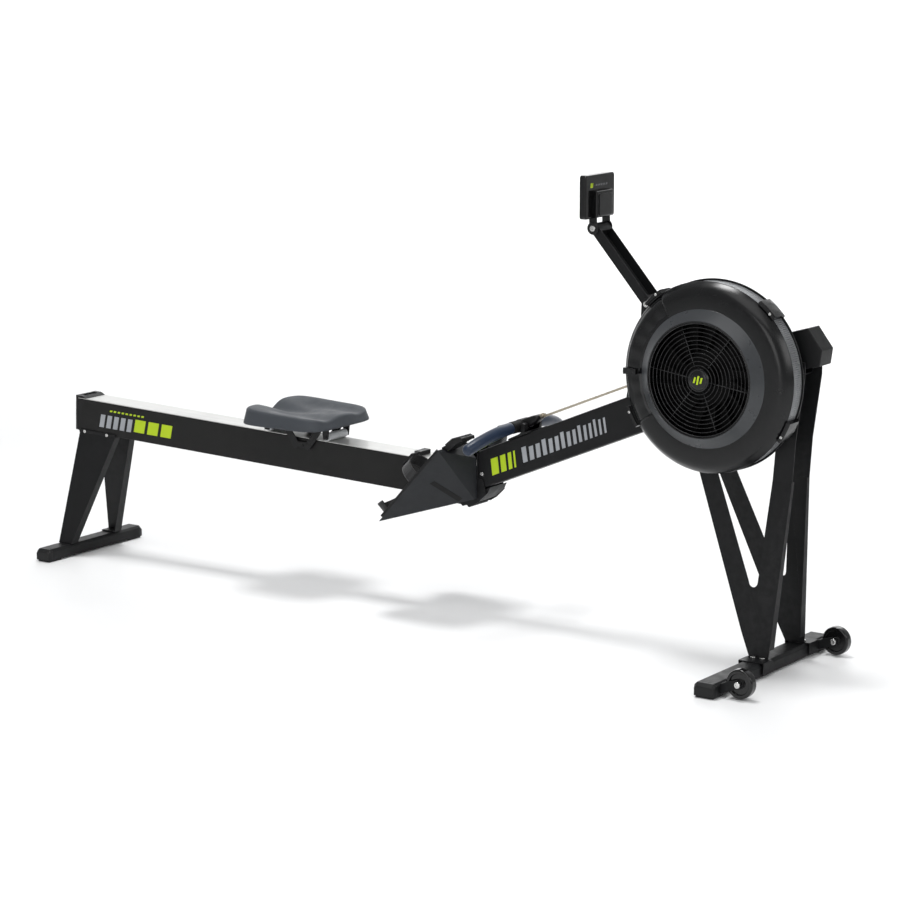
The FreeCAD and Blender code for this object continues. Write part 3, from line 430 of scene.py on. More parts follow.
def tube_along(name, pts, rad, mat, seg=16, closed=False, scale_fn=None, up=Vector((0, 1, 0)), caps=True):
    """Tube round a list of points, in metres; scale_fn(i, angle) gives a radius factor."""
    n = len(pts)
    vs, fs = [], []
    for i, p in enumerate(pts):
        a = pts[(i - 1) % n] if (closed or i) else pts[0]
        b = pts[(i + 1) % n] if (closed or i < n - 1) else pts[-1]
        t = (b - a).normalized()
        u = (up - t * up.dot(t))
        u = u.normalized() if u.length > 1e-6 else Vector((1, 0, 0))
        v = t.cross(u)
        for q in range(seg):
            th = 2 * math.pi * q / seg
            f = scale_fn(i, th) if scale_fn else 1.0
            vs.append(p + (u * math.cos(th) + v * math.sin(th)) * rad * f)
    m = n if closed else n - 1
    for i in range(m):
        j = (i + 1) % n
        for q in range(seg):
            q2 = (q + 1) % seg
            fs.append((i * seg + q, i * seg + q2, j * seg + q2, j * seg + q))
    if caps and not closed:
        fs.append(tuple(range(seg))[::-1])
        fs.append(tuple(range((n - 1) * seg, n * seg)))
    return mesh_obj(name, vs, fs, mat)


def join(name, objs):
    bm = bmesh.new()
    mats = []
    for o in objs:
        me = o.data
        ids = []
        for m_ in me.materials:
            if m_ not in mats:
                mats.append(m_)
            ids.append(mats.index(m_))
        n0 = len(bm.faces)
        bm.from_mesh(me)
        bm.faces.ensure_lookup_table()
        for f in bm.faces[n0:]:
            f.material_index = ids[f.material_index] if ids else 0
    me = bpy.data.meshes.new(name)
    bm.to_mesh(me)
    bm.free()
    for m_ in mats:
        me.materials.append(m_)
    for o in objs:
        bpy.data.objects.remove(o)
    o = bpy.data.objects.new(name, me)
    scene.collection.objects.link(o)
    return o


def smooth_path(ctrl, n):
    """Catmull-Rom through control points."""
    pts = [Vector(c) for c in ctrl]
    pts = [pts[0] * 2 - pts[1]] + pts + [pts[-1] * 2 - pts[-2]]
    out = []
    m = len(pts) - 3
    for i in range(n + 1):
        t = i / n * m
        k = min(int(t), m - 1)
        f = t - k
        p0, p1, p2, p3 = pts[k:k + 4]
        out.append(0.5 * ((2 * p1) + (p2 - p0) * f + (2 * p0 - 5 * p1 + 4 * p2 - p3) * f * f +
                          (3 * p1 - p0 - 3 * p2 + p3) * f ** 3))
    return out


# ------------------------------------------------------------------ carried-over structure, edges rounded
refine("front_foot_bar", "powder_black", 0.0022, 3)
refine("rear_foot_bar", "powder_black", 0.0022, 3)
refine("front_foot_caps", "plastic_black", 0.0022, 3)
refine("rear_foot_caps", "plastic_black", 0.0022, 3)
refine("front_leg_near", "powder_black", 0.0011, 2)
refine("front_leg_far", "powder_black", 0.0011, 2)
refine("front_foot_brackets", "powder_black", 0.001, 2)
refine("boom_beam", "powder_black", 0.0010, 2)
refine("boom_end_caps", "plastic_black", 0.0025, 3)
refine("boom_brackets", "powder_black", 0.0009, 2)
refine("footrests", "powder_wedge", 0.0014, 2)
refine("foot_boards", "plastic_black", 0.0012, 2)
refine("rail_beam", "anodised_black", 0.0014, 3)
refine("rail_track", "track_steel", 0.0004, 2)
refine("rail_stops", "plastic_black", 0.0014, 3)
refine("rear_legs", "powder_black", 0.0011, 2)
refine("arm_bracket", "powder_black", 0.0008, 2)
refine("monitor_arm", "powder_black", 0.0016, 3)
refine("handle_hook", "plastic_black", 0.0012, 2)
refine("chain_guide", "plastic_black", 0.0012, 2)
refine("housing_clamps", "plastic_satin", 0.0022, 3)
refine("seat_carriage", "plastic_black", 0.0006, 2)
refine("monitor_case", "plastic_gloss", 0.0016, 3)
refine("monitor_bezel", "plastic_satin", 0.0012, 3)
refine("battery_cover", "plastic_gloss", 0.0006, 2)
refine("caster_wheel_near", "plastic_gloss", 0.0012, 3)
refine("caster_wheel_far", "plastic_gloss", 0.0012, 3)
refine("flywheel", "fan_dark", 0.0004, 1)
refine("rear_shell", "plastic_satin", 0.0016, 3)
for n_, m_ in (("frame_bolts", "bolt_steel"), ("rear_bolts", "bolt_steel"), ("monitor_pin", "bolt_steel"),
               ("flywheel_axle", "bolt_steel"), ("axle_bearings", "bolt_steel"), ("sprocket", "nickel_chain"),
               ("return_block", "powder_black"), ("return_pulley", "plastic_black"), 
               ("speed_pickup", "plastic_black"), ("chain_swivel", "nickel_chain"), ("damper_lever", "plastic_satin"),
               ("seat_roller_front", "wheel_white"), ("seat_roller_rear", "wheel_white"), ("monitor_screen", "lcd")):
    refine(n_, m_, 0.0004, 2)
for i_ in range(1, 6):
    refine("monitor_button_%d" % i_, "key_grey", 0.0008, 2)


# ------------------------------------------------------------------ fan housing
FX, FZ = -160.0, 740.0


def rim(r):
    return r if r <= 176.0 else 176.0 + (r - 176.0) * 0.93


def sstep(a, b, x):
    t = min(1.0, max(0.0, (x - a) / (b - a)))
    return t * t * (3 - 2 * t)


def shell():
    """Front shell: mouth lip, cone, flat face and a broad rounded shoulder, with the pressed damper window."""
    ctrl = [(176.0, -129.4), (186, -129.6), (200, -129.4), (212, -128.6), (220, -126.6), (227.5, -122.4), (233.5, -116.6),
            (238.5, -110.6), (241.8, -106.0), (243.2, -103.6)]
    sh = [(p.x, p.y) for p in smooth_path([(r, y, 0) for r, y in ctrl], 34)]
    lip = [(144.4, -147.4), (144.2, -149.6), (144.9, -151.2), (146.4, -152.0), (148.0, -151.4)]
    cone = [(148.0 + (175.0 - 148.0) * i / 9, -151.4 + (151.4 - 130.4) * (i / 9) ** 0.94) for i in range(1, 10)]
    inner = [(239.6, -104.2), (236.0, -109.6), (230.0, -116.6), (223.0, -122.4), (214.0, -125.4), (200.0, -126.0),
             (178.0, -126.0), (150.5, -146.6)]
    prof = lip + cone + [(175.7, -129.9)] + sh + inner
    nf = len(lip) + len(cone)
    ns = nf + 1 + len(sh)
    n = 360
    vs, fs = [], []
    for i in range(n):
        a = 2 * math.pi * i / n
        d = i * 360.0 / n
        w = sstep(123.5, 124.6, d) * (1 - sstep(214.4, 215.5, d))
        # two leaves of the window, the lower one pressed a little deeper
        w *= 1.0 + 0.28 * sstep(179.5, 180.5, d)
        fac = 0.35 * math.sin(math.radians(d * 30.0)) * w
        for k, (r, y) in enumerate(prof):
            if k < ns:
                g = sstep(176.3, 178.6, r) * (1 - 0.45 * sstep(232, 243, r))
                yy = y + 6.2 * w * g + fac * g
                rr = r - 2.2 * w * sstep(226, 243, r)
            else:
                yy, rr = y + 6.2 * w * sstep(178, 200, r) * (1 - sstep(226, 239, r)), r
            vs.append(P(FX + rr * math.cos(a), yy, FZ + rr * math.sin(a)))
    m = len(prof)
    for i in range(n):
        j = (i + 1) % n
        for k in range(m):
            k2 = (k + 1) % m
            fs.append((i * m + k, j * m + k, j * m + k2, i * m + k2))
    o = mesh_obj("front_shell_v", vs, fs, "plastic_satin")
    o.data.materials.append(MATS["plastic_cone"])
    for q, p in enumerate(o.data.polygons):
        if len(lip) - 1 <= q % m < nf:
            p.material_index = 1
    auto_smooth(o.data, 38)
    bm = bmesh.new()
    bm.from_mesh(o.data)
    bmesh.ops.recalc_face_normals(bm, faces=bm.faces)
    bm.to_mesh(o.data)
    bm.free()
    body = frame["nodes"]["front_shell"]["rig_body"]
    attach(o, body)
    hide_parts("front_shell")


shell()


def torus(r, y, w, seg=8, n=128):
    return tube_along("t", [P(FX + r * math.cos(2 * math.pi * i / n), y, FZ + r * math.sin(2 * math.pi * i / n)) for i in range(n)],
                      w / 1000, "wire_black", seg, closed=True)


def grill():
    parts = [torus(36.6 + 10.6 * i, -148.2, 0.95) for i in range(10)]
    parts.append(torus(142.4, -148.6, 1.7, 10, 180))
    for i in range(6):
        a = math.radians(52 + 60 * i)
        c, s = math.cos(a), math.sin(a)
        parts.append(tube_along("t", [P(FX + r * c, -146.4, FZ + r * s) for r in (28, 60, 100, 142)], 0.0011, "wire_black", 8))
    g = join("grill_v", parts)
    for p in g.data.polygons:
        p.use_smooth = True
    # hub: a domed cap with a stepped rim
    hub = revolve("hub", [(0.01, -146.2), (28.0, -146.2), (29.6, -147.4), (30.0, -150.0), (29.0, -151.6), (26.6, -152.3), (25.4, -151.6),
                          (24.6, -151.6), (23.6, -152.5), (12, -153.2), (0.01, -153.35)], "plastic_satin", FX, FZ, 96)
    # a plain mark on the hub: three raised bars inside a ring
    bars = []
    for k, (x0, w0) in enumerate(((-9.5, 7.5), (0.0, 11.0), (9.5, 7.5))):
        bm = bmesh.new()
        pts = [(x0 - 2.6 - 2, -w0), (x0 + 2.6 - 2, -w0), (x0 + 2.6 + 2, w0), (x0 - 2.6 + 2, w0)]
        fr = [bm.verts.new(P(FX + x, -153.7, FZ + z)) for x, z in pts]
        bk = [bm.verts.new(P(FX + x, -152.6, FZ + z)) for x, z in pts]
        bm.faces.new(fr)
        bm.faces.new(bk[::-1])
        for q in range(4):
            bm.faces.new((fr[q], bk[q], bk[(q + 1) % 4], fr[(q + 1) % 4]))
        o = from_bm("hb%d" % k, bm, "lime_print", False)
        bars.append(o)
    mk = join("hub_mark", bars)
    bevel(mk, 0.0004, 2, weighted=False)
    auto_smooth(hub.data, 40)
    g2 = join("grill_hub", [hub])
    for o in (g, g2, mk):
        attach(o, frame["nodes"]["grill"]["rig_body"])
    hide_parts("grill")


grill()


def vent():
    """Perforated ring: a rolled strip with its round holes cut through."""
    r0, y0, y1 = rim(244.2), -104.0, -57.3
    nu, nv = 288, 8                      # cells round and across, one hole to a cell
    th = 1.0
    k = 6                                # hole corners
    bm = bmesh.new()

    def pt(u, v, r):
        a = 2 * math.pi * u / nu
        return P(FX + r * math.cos(a), y0 + (y1 - y0) * v / nv, FZ + r * math.sin(a))
    cache = {}

    def vert(u, v, r):
        key = (round((u % nu) * 64), round(v * 64), r)
        if key not in cache:
            cache[key] = bm.verts.new(pt(u % nu, v, r))
        return cache[key]
    for i in range(nu):
        for j in range(nv):
            sq = [(i, j), (i + .5, j), (i + 1, j), (i + 1, j + .5), (i + 1, j + 1), (i + .5, j + 1), (i, j + 1), (i, j + .5)]
            hl = []
            for (su, sv) in sq:
                a = math.atan2(sv - j - .5, su - i - .5)
                hl.append((i + .5 + 0.31 * math.cos(a), j + .5 + 0.31 * math.sin(a)))
            for q in range(8):
                q2 = (q + 1) % 8
                bm.faces.new((vert(*sq[q], r0), vert(*sq[q2], r0), vert(*hl[q2], r0), vert(*hl[q], r0)))
                bm.faces.new((vert(*hl[q], r0), vert(*hl[q2], r0), vert(*hl[q2], r0 - th), vert(*hl[q], r0 - th)))
    o = from_bm("vent_ring_v", bm, "perforated_ring", True)
    auto_smooth(o.data, 40)
    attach(o, frame["nodes"]["vent_ring"]["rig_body"])
    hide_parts("vent_ring")


vent()

# ------------------------------------------------------------------ seat: moulded foam, dished for the sit bones
def seat():
    cx, cy, zb = -1505.0, 0.0, 473.0
    A, B = 142.0, 146.0

    def top(u, v):
        f = 508.5 - 10.0 * math.exp(-((abs(v) - 0.50) / 0.25) ** 2) - 1.0 * (1 - abs(v))
        r = 519.0 - 24.0 * math.exp(-(v / 0.25) ** 2) - 4.0 * sstep(0.75, 1.05, abs(v))
        w = sstep(-1.0, 0.95, u)
        z = r * (1 - w) + f * w
        z -= 10.0 * math.exp(-((u + 0.18) / 0.42) ** 2 - ((abs(v) - 0.40) / 0.30) ** 2)
        z -= 4.0 * math.exp(-((u + 0.15) / 0.6) ** 2 - (v / 0.2) ** 2)
        return z

    def edge(t, a, b):
        c, s = math.cos(t), math.sin(t)
        e = 0.40
        return a * math.copysign(abs(c) ** e, c), b * math.copysign(abs(s) ** e, s)
    n = 160
    ang = []
    for i in range(n):                    # even steps along the rounded outline
        ang.append(2 * math.pi * i / n)
    # resample so that the corners get even points
    fine = [edge(2 * math.pi * i / 4000, A, B) for i in range(4000)]
    acc = [0.0]
    for i in range(4000):
        p, q = fine[i], fine[(i + 1) % 4000]
        acc.append(acc[-1] + math.hypot(q[0] - p[0], q[1] - p[1]))
    L = acc[-1]
    ts, k = [], 0
    for i in range(n):
        g = L * i / n
        while acc[k + 1] < g:
            k += 1
        ts.append(2 * math.pi * (k + (g - acc[k]) / max(1e-9, acc[k + 1] - acc[k])) / 4000)
    rows = []                             # (inset in mm, how z is found)
    rows.append((7.0, "z", zb + 2.0))
    rows.append((3.0, "z", zb + 0.2))
    rows.append((1.0, "z", zb + 0.6))
    rows.append((0.0, "z", zb + 2.6))
    rows.append((0.3, "z", zb + 5.0))
    for q in range(1, 6):
        rows.append((0.3 + 6.4 * q / 6, "f", q / 6))
    for q in range(1, 9):                 # rolled top edge, radius about 9
        a = math.pi / 2 * q / 8
        rows.append((6.7 + 9.0 * (1 - math.cos(a)), "r", 9.0 * (1 - math.sin(a))))
    ins = 15.7
    m = 26
    vs, fs = [], []

    def put_ring(fn):
        base = len(vs)
        for t in ts:
            vs.append(fn(t))
        return base
    rings = []
    for inset, kind, val in rows:
        def fn(t, inset=inset, kind=kind, val=val):
            x, y = edge(t, A - inset, B - inset)
            zt = top(x / A, y / B)
            if kind == "z":
                z = val
            elif kind == "f":
                z = (zb + 5.0) * (1 - val) + (zt - 9.0) * val
            else:
                z = zt - val
            return P(cx + x, cy + y, z)
        rings.append(put_ring(fn))
    for q in range(1, m):
        s = 1 - q / m

        def fn(t, s=s):
            x, y = edge(t, A - ins, B - ins)
            x, y = x * s, y * s
            return P(cx + x, cy + y, top(x / A, y / B))
        rings.append(put_ring(fn))
    vs.append(P(cx, cy, top(0, 0)))
    c_top = len(vs) - 1
    # underside: a shallow pan
    under = []
    for inset, z in ((12.0, zb + 2.6), (40.0, zb + 3.2), (90.0, zb + 3.2)):
        base = len(vs)
        for t in ts:
            x, y = edge(t, A - inset, B - inset)
            vs.append(P(cx + x, cy + y, z))
        under.append(base)
    vs.append(P(cx, cy, zb + 3.2))
    c_bot = len(vs) - 1
    for a, b in zip(rings[:-1], rings[1:]):
        for i in range(n):
            j = (i + 1) % n
            fs.append((a + i, a + j, b + j, b + i))
    for i in range(n):
        j = (i + 1) % n
        fs.append((rings[-1] + i, rings[-1] + j, c_top))
        fs.append((under[0] + i, under[0] + j, rings[0] + j, rings[0] + i))
        fs.append((under[-1] + j, under[-1] + i, c_bot))
    for a, b in zip(under[:-1], under[1:]):
        for i in range(n):
            j = (i + 1) % n
            fs.append((a + j, a + i, b + i, b + j))
    o = mesh_obj("seat_pad", vs, fs, "seat_slate")
    bm = bmesh.new()
    bm.from_mesh(o.data)
    bmesh.ops.recalc_face_normals(bm, faces=bm.faces)
    bm.to_mesh(o.data)
    bm.free()
    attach(o, frame["nodes"]["seat_top"]["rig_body"])
    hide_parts("seat_top")


seat()


# ------------------------------------------------------------------ handle: bent bar, moulded grips, centre sleeve and hub
def handle():
    body = frame["nodes"]["handle_bar"]["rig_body"]
    grips = []
    for sd in (-1, 1):
        ctrl = [P(-779, sd * 62, 539), P(-784, sd * 120, 533), P(-796, sd * 178, 518), P(-807, sd * 217, 503), P(-811, sd * 231, 498)]
        pts = smooth_path(ctrl, 56)
        L = [0.0]
        for a, b in zip(pts[:-1], pts[1:]):
            L.append(L[-1] + (b - a).length)
        tot = L[-1]

        def fac(i, th, L=L, tot=tot):
            s = L[i]
            f = 1.0 + 0.035 * math.sin(math.pi * s / tot) - 0.03 * sstep(0.7 * tot, tot, s)
            e = tot - s
            if e < 0.014:
                f *= math.sqrt(max(0.0, 1 - ((0.014 - e) / 0.0142) ** 2))
            if s < 0.0035:
                f *= 0.93 + 0.07 * math.sin(math.pi / 2 * s / 0.0035)
            f *= 1.0 + 0.0035 * math.cos(8 * th) * sstep(0.01, 0.03, s) * sstep(0.012, 0.03, e)
            return max(f, 0.02)
        # finer steps over the domed end
        fine = [p for p, l in zip(pts, L) if tot - l > 0.015]
        last = fine[-1]
        for q in range(1, 13):
            fine.append(last.lerp(pts[-1], math.sin(math.pi / 2 * q / 12)))
        L2 = [0.0]
        for a, b in zip(fine[:-1], fine[1:]):
            L2.append(L2[-1] + (b - a).length)
        L[:] = L2
        tot2 = L2[-1]
        fn = lambda i, th, L=L2, tot=tot2: fac(i, th, L, tot)
        grips.append(tube_along("grip", fine, 0.0160, "grip_navy", 48, scale_fn=fn, up=Vector((0, 0, 1))))
    g = join("grips", grips)
    for p in g.data.polygons:
        p.use_smooth = True
    auto_smooth(g.data, 60)
    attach(g, body)
    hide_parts("handle_grips")
    # centre sleeve: ribbed rubber between the grips
    n = 120
    pts = [P(-779, -61.4 + 122.8 * i / n, 539) for i in range(n + 1)]

    def rib(i, th):
        y = -61.4 + 122.8 * i / n
        f = 1.0
        if 20 < abs(y) < 58:
            f += 0.022 * math.sin((abs(y) - 20) * 2 * math.pi / 5.4)
        f += 0.09 * sstep(26, 18, abs(y)) if abs(y) < 26 else 0
        e = 61.4 - abs(y)
        if e < 2:
            f *= 0.90 + 0.05 * e
        return f
    tube = tube_along("sleeve", pts, 0.0162, "rubber_black", 40, scale_fn=rib, up=Vector((0, 0, 1)))
    # horn that carries the swivel
    hx, hz = -779.0, 539.0
    prof = [(-8, 11), (6, 17.5), (24, 25), (38, 30.5), (50, 32.5), (56, 30), (57, 25), (52, 18), (42, 10), (30, 1), (14, -7), (0, -10)]
    sm = smooth_path([(x, z, 0) for x, z in prof + [prof[0]]], 60)[:-1]
    k = len(sm)
    vs, fs = [], []
    lay = [(-19, 0.80), (-18, 0.92), (-15.5, 1.0), (15.5, 1.0), (18, 0.92), (19, 0.80)]
    c = Vector((sum(p.x for p in sm) / k, sum(p.y for p in sm) / k, 0))
    for y, s in lay:
        for p in sm:
            q = c + (p - c) * s
            vs.append(P(hx + q.x, y, hz + q.y))
    for a in range(len(lay) - 1):
        for i in range(k):
            j = (i + 1) % k
            fs.append((a * k + i, a * k + j, (a + 1) * k + j, (a + 1) * k + i))
    fs.append(tuple(range(k))[::-1])
    fs.append(tuple(range((len(lay) - 1) * k, len(lay) * k)))
    horn = mesh_obj("horn", vs, fs, "plastic_black")
    h = join("handle_core", [tube, horn])
    auto_smooth(h.data, 50)
    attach(h, body)
    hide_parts("handle_bar")


handle()

# ------------------------------------------------------------------ roller chain along its route
BS_, BC_ = math.sin(math.radians(22.7)), math.cos(math.radians(22.7))


def boom_pt(s, d):
    return (-894 + s * BC_ + d * BS_, 462 + s * BS_ - d * BC_)


def chain(name, part):
    R = 19.4
    a0, a1 = 105.0, -78.0
    if part == 0:
        way = [(-709.0, 570.8), (-430.0, 686.4)]
    else:
        way = []
        a0 = a1 + 1.0
    way += [(FX + R * math.cos(math.radians(a0 + (a1 - a0) * i / 40)), FZ + R * math.sin(math.radians(a0 + (a1 - a0) * i / 40)))
            for i in range(41)]
    ex, ez = boom_pt(112, 33)
    if part:
        way = [way[-1], (ex, ez)]
    acc = [0.0]
    for a, b in zip(way[:-1], way[1:]):
        acc.append(acc[-1] + math.hypot(b[0] - a[0], b[1] - a[1]))

    def at(g):
        k = 0
        while k < len(acc) - 2 and acc[k + 1] < g:
            k += 1
        f = (g - acc[k]) / max(1e-9, acc[k + 1] - acc[k])
        a, b = way[k], way[k + 1]
        return Vector((a[0] + (b[0] - a[0]) * f, a[1] + (b[1] - a[1]) * f, 0))
    pitch = 9.525
    m = int(acc[-1] / pitch)
    bm = bmesh.new()
    nodes = [at(i * pitch) for i in range(m + 1)]

    def solid(outline, y0, y1):
        lo = [bm.verts.new(P(x, y0, z)) for x, z in outline]
        hi = [bm.verts.new(P(x, y1, z)) for x, z in outline]
        bm.faces.new(lo)
        bm.faces.new(hi[::-1])
        k = len(outline)
        for q in range(k):
            q2 = (q + 1) % k
            bm.faces.new((lo[q], hi[q], hi[q2], lo[q2]))
    for i in range(m):
        a, b = nodes[i], nodes[i + 1]
        t = (b - a).normalized()
        nrm = Vector((-t.y, t.x, 0))
        r = 3.3
        out = []
        for c, s0 in ((b, -90), (a, 90)):
            for q in range(6):
                an = math.radians(s0 + 180 * q / 5)
                p = c + t * (math.cos(an) * r) + nrm * (math.sin(an) * r)
                out.append((p.x, p.y))
            mid = (a + b) / 2 + nrm * (2.3 if s0 == -90 else -2.3)
            out.append((mid.x, mid.y))
        y = 2.75 if i % 2 else 1.75
        for sd in (-1, 1):
            solid(out, sd * (y - 0.45), sd * (y + 0.45))
    for p in nodes:
        out = [(p.x + 2.6 * math.cos(q * math.pi / 5), p.y + 2.6 * math.sin(q * math.pi / 5)) for q in range(10)]
        solid(out, -1.25, 1.25)
        out = [(p.x + 1.2 * math.cos(q * math.pi / 4), p.y + 1.2 * math.sin(q * math.pi / 4)) for q in range(8)]
        solid(out, -3.3, 3.3)
    o = from_bm(name, bm, "nickel_chain")
    auto_smooth(o.data, 40)
    if part:
        P(way[0][0], 0, way[0][1])
        P(ex, 0, ez)
        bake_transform(o)
    else:
        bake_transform(o)
        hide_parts("chain")


chain("chain_links", 0)
chain("chain_return", 1)

# ------------------------------------------------------------------ foot cups and straps
PC_, PS_ = math.cos(math.radians(47.5)), math.sin(math.radians(47.5))


def plate(s, h, y):
    return P(-1136 + s * PC_ - h * PS_, y, 262 + s * PS_ + h * PC_)


def prism(bm, pts, y0, y1):
    lo = [bm.verts.new(plate(s, h, y0)) for s, h in pts]
    hi = [bm.verts.new(plate(s, h, y1)) for s, h in pts]
    bm.faces.new(lo)
    bm.faces.new(hi[::-1])
    k = len(pts)
    for q in range(k):
        q2 = (q + 1) % k
        bm.faces.new((lo[q], hi[q], hi[q2], lo[q2]))


for nm, sd in (("near", -1), ("far", 1)):
    body = frame["nodes"]["foot_cup_" + nm]["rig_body"]
    refine("foot_cup_" + nm, "plastic_black", 0.0011, 2)
    bm = bmesh.new()
    yc = sd * 110
    for k in range(9):                          # tread ribs on the sole
        s = 96 + 18 * k
        if 140 < s < 198:
            continue
        prism(bm, [(s, 9.9), (s + 5, 9.9), (s + 4, 11.5), (s + 1, 11.5)], yc - 34, yc + 34)
    for k in range(5):                          # height pegs down the middle
        s = 110 + 26 * k
        if 140 < s < 198:
            continue
        prism(bm, [(s, 9.9), (s + 10, 9.9), (s + 9, 12.6), (s + 1, 12.6)], yc - 5, yc + 5)
    o = from_bm("cup_ribs_" + nm, bm, "plastic_black", False)
    bevel(o, 0.0006, 2, weighted=False)
    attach(o, body)
    # strap: a flat band of webbing arched over the shoe
    ctrl = [(-46, 10.4), (-45.4, 22), (-43, 35), (-33, 52), (-14, 62.4), (0, 64.2), (14, 62.4), (33, 52), (43, 35), (45.4, 22), (46, 10.4)]
    path = [(p.x, p.y) for p in smooth_path([(a, b, 0) for a, b in ctrl], 72)]
    nw = 10
    vs, fs, uvs = [], [], []
    for i, (u, h) in enumerate(path):
        for j in range(nw + 1):
            w = j / nw
            sag = 0.7 * math.sin(math.pi * w) * math.sin(math.pi * i / 72)
            ripple = 0.35 * math.sin(i * 0.55 + w * 2.2)
            vs.append(plate(150.5 + 37.0 * w, h - sag + ripple * math.sin(math.pi * i / 72), yc + u))
    for i in range(len(path) - 1):
        for j in range(nw):
            a = i * (nw + 1) + j
            fs.append((a, a + 1, a + nw + 2, a + nw + 1))
    st = mesh_obj("strap_web_" + nm, vs, fs, "webbing")
    so = st.modifiers.new("thick", "SOLIDIFY")
    so.thickness = 0.0016
    so.offset = 0.0
    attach(st, body)
    # ladder buckle on top of the arch
    bm = bmesh.new()
    h0, h1 = 65.6, 69.4
    for y0, y1 in ((-14, -11), (-3, 0), (13, 16)):
        prism(bm, [(146, h0), (192, h0), (192, h1), (146, h1)], yc + y0, yc + y1)
    for s in (146, 188.5):
        prism(bm, [(s, h0 - 0.4), (s + 3.5, h0 - 0.4), (s + 3.5, h1 + 0.4), (s, h1 + 0.4)], yc - 14, yc + 16)
    prism(bm, [(152, 66.6), (186, 66.6), (186, 68.0), (152, 68.0)], yc + 0, yc + 13)
    bk = from_bm("strap_buckle_" + nm, bm, "plastic_black", False)
    bevel(bk, 0.0007, 2, weighted=False)
    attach(bk, body)
    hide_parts("foot_strap_" + nm)


# ------------------------------------------------------------------ shock cord inside the boom, from its low end to the return block
def shock():
    src = frame["nodes"]["shock_cord"]
    pts = [src.matrix_world @ v.co for v in src.data.vertices]
    lo = sum((v for v in sorted(pts, key=lambda q: q.x)[:6]), Vector()) / 6
    hi = sum((v for v in sorted(pts, key=lambda q: -q.x)[:6]), Vector()) / 6
    lo.y = hi.y = SY
    n = 60
    line = [lo.lerp(hi, i / n) for i in range(n + 1)]
    o = tube_along("shock_cord_v", line, 0.0043, "rubber_black", 18,
                   scale_fn=lambda i, th: 1.0 + 0.03 * math.sin(3 * th + i * 0.9))
    auto_smooth(o.data, 50)
    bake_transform(o)
    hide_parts("shock_cord")


shock()

# ------------------------------------------------------------------ printed graphics: plain bars and blocks, no lettering
RS_, RC_ = math.sin(math.radians(1.99)), math.cos(math.radians(1.99))


def rail_pt(s, d):
    return (-2317 + s * RC_ - d * RS_, 465 - s * RS_ - d * RC_)


def decal(name, polys, fn, y, body, mat, th=0.35):
    """Raised flat shapes on a side face; polys are in (along, down) mm."""
    bm = bmesh.new()
    for pl in polys:
        lo, hi = [], []
        for s, d in pl:
            x, z = fn(s, d)
            lo.append(bm.verts.new(P(x, y - th, z)))
            hi.append(bm.verts.new(P(x, y + 0.1, z)))
        bm.faces.new(lo)
        bm.faces.new(hi[::-1])
        k = len(pl)
        for q in range(k):
            q2 = (q + 1) % k
            bm.faces.new((lo[q], hi[q], hi[q2], lo[q2]))
    o = from_bm(name, bm, mat, False)
    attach(o, body)
    return o


def slant(s0, s1, d0, d1, lean=10.0, cut=0.0):
    """Leaning bar from d0 (top) to d1 (bottom)."""
    return [(s0 + lean, d0), (s1 + lean, d0), (s1 - cut, d1), (s0, d1)]


def lens(s0, s1, d0, d1, lean, n=10, flip=False):
    """Leaning half-round block."""
    out = []
    for i in range(n + 1):
        a = math.pi * i / n
        t = (1 - math.cos(a)) / 2
        bulge = math.sin(a)
        d = d0 + (d1 - d0) * t
        sh = lean * (1 - t)
        out.append(((s1 + sh + (s0 - s1) * bulge) if not flip else (s0 + sh + (s1 - s0) * bulge), d))
    return out


# boom, fan side: a lime block of three leaning bars, then a row of silver bars that thin out up the boom
lime = [slant(17, 41, 31, 74, 12), slant(49, 67, 31, 74, 12), slant(75, 87, 31, 74, 12), slant(94, 100, 31, 74, 12)]
decal("boom_mark", lime, boom_pt, -42.0, "root", "lime_print")
sil = []
random.seed(7)
s_ = 126.0
for i in range(15):
    w_ = 15.0 - 0.62 * i
    top_ = 35.0 - 0.4 * i if i % 3 else 30.0 - 0.4 * i
    bot_ = 70.0 - 0.1 * i
    sil.append(slant(s_, s_ + w_, top_, bot_, 9.0))
    s_ += w_ + 8.6
decal("boom_bars", sil, boom_pt, -42.0, "root", "silver_print")
# rail, fan side: a thin row over a grey bar and a lime bar
rb = "rail"
decal("rail_row", [slant(122 + 15 * i, 131 + 15 * i, 21.5, 26.5, 2) for i in range(9)], rail_pt, -42.15, rb, "lime_print")
grey = [slant(82 + 26 * i, 99 + 26 * i, 38, 76, 7) for i in range(5)]
lm = [slant(214 + 50 * i, 253 + 50 * i, 35.5, 73, 7) for i in range(3)]
decal("rail_bars", grey, rail_pt, -42.15, rb, "silver_print")
decal("rail_blocks", lm, rail_pt, -42.15, rb, "lime_print")


# monitor back: a small lime block and three grey dashes
def back_decal(name, quads, mat):
    bm = bmesh.new()
    for y0, y1, z0, z1 in quads:
        a = [P(-538.1, y0, z0), P(-538.1, y1, z0), P(-538.1, y1 + 1.5, z1), P(-538.1, y0 + 1.5, z1)]
        b = [v + Vector((0.00055, 0, 0)) for v in a]
        fa, fb = [bm.verts.new(v) for v in a], [bm.verts.new(v) for v in b]
        bm.faces.new(fa[::-1])
        bm.faces.new(fb)
        for q in range(4):
            bm.faces.new((fa[q], fb[q], fb[(q + 1) % 4], fa[(q + 1) % 4]))
    o = from_bm(name, bm, mat, False)
    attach(o, frame["nodes"]["monitor_case"]["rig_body"])


back_decal("monitor_mark", [(-58, -53, 1188, 1200), (-50.5, -47, 1188, 1200)], "lime_print")
back_decal("monitor_dashes", [(-34 + 12 * i, -26 + 12 * i, 1191.5, 1196) for i in range(5)], "key_grey")
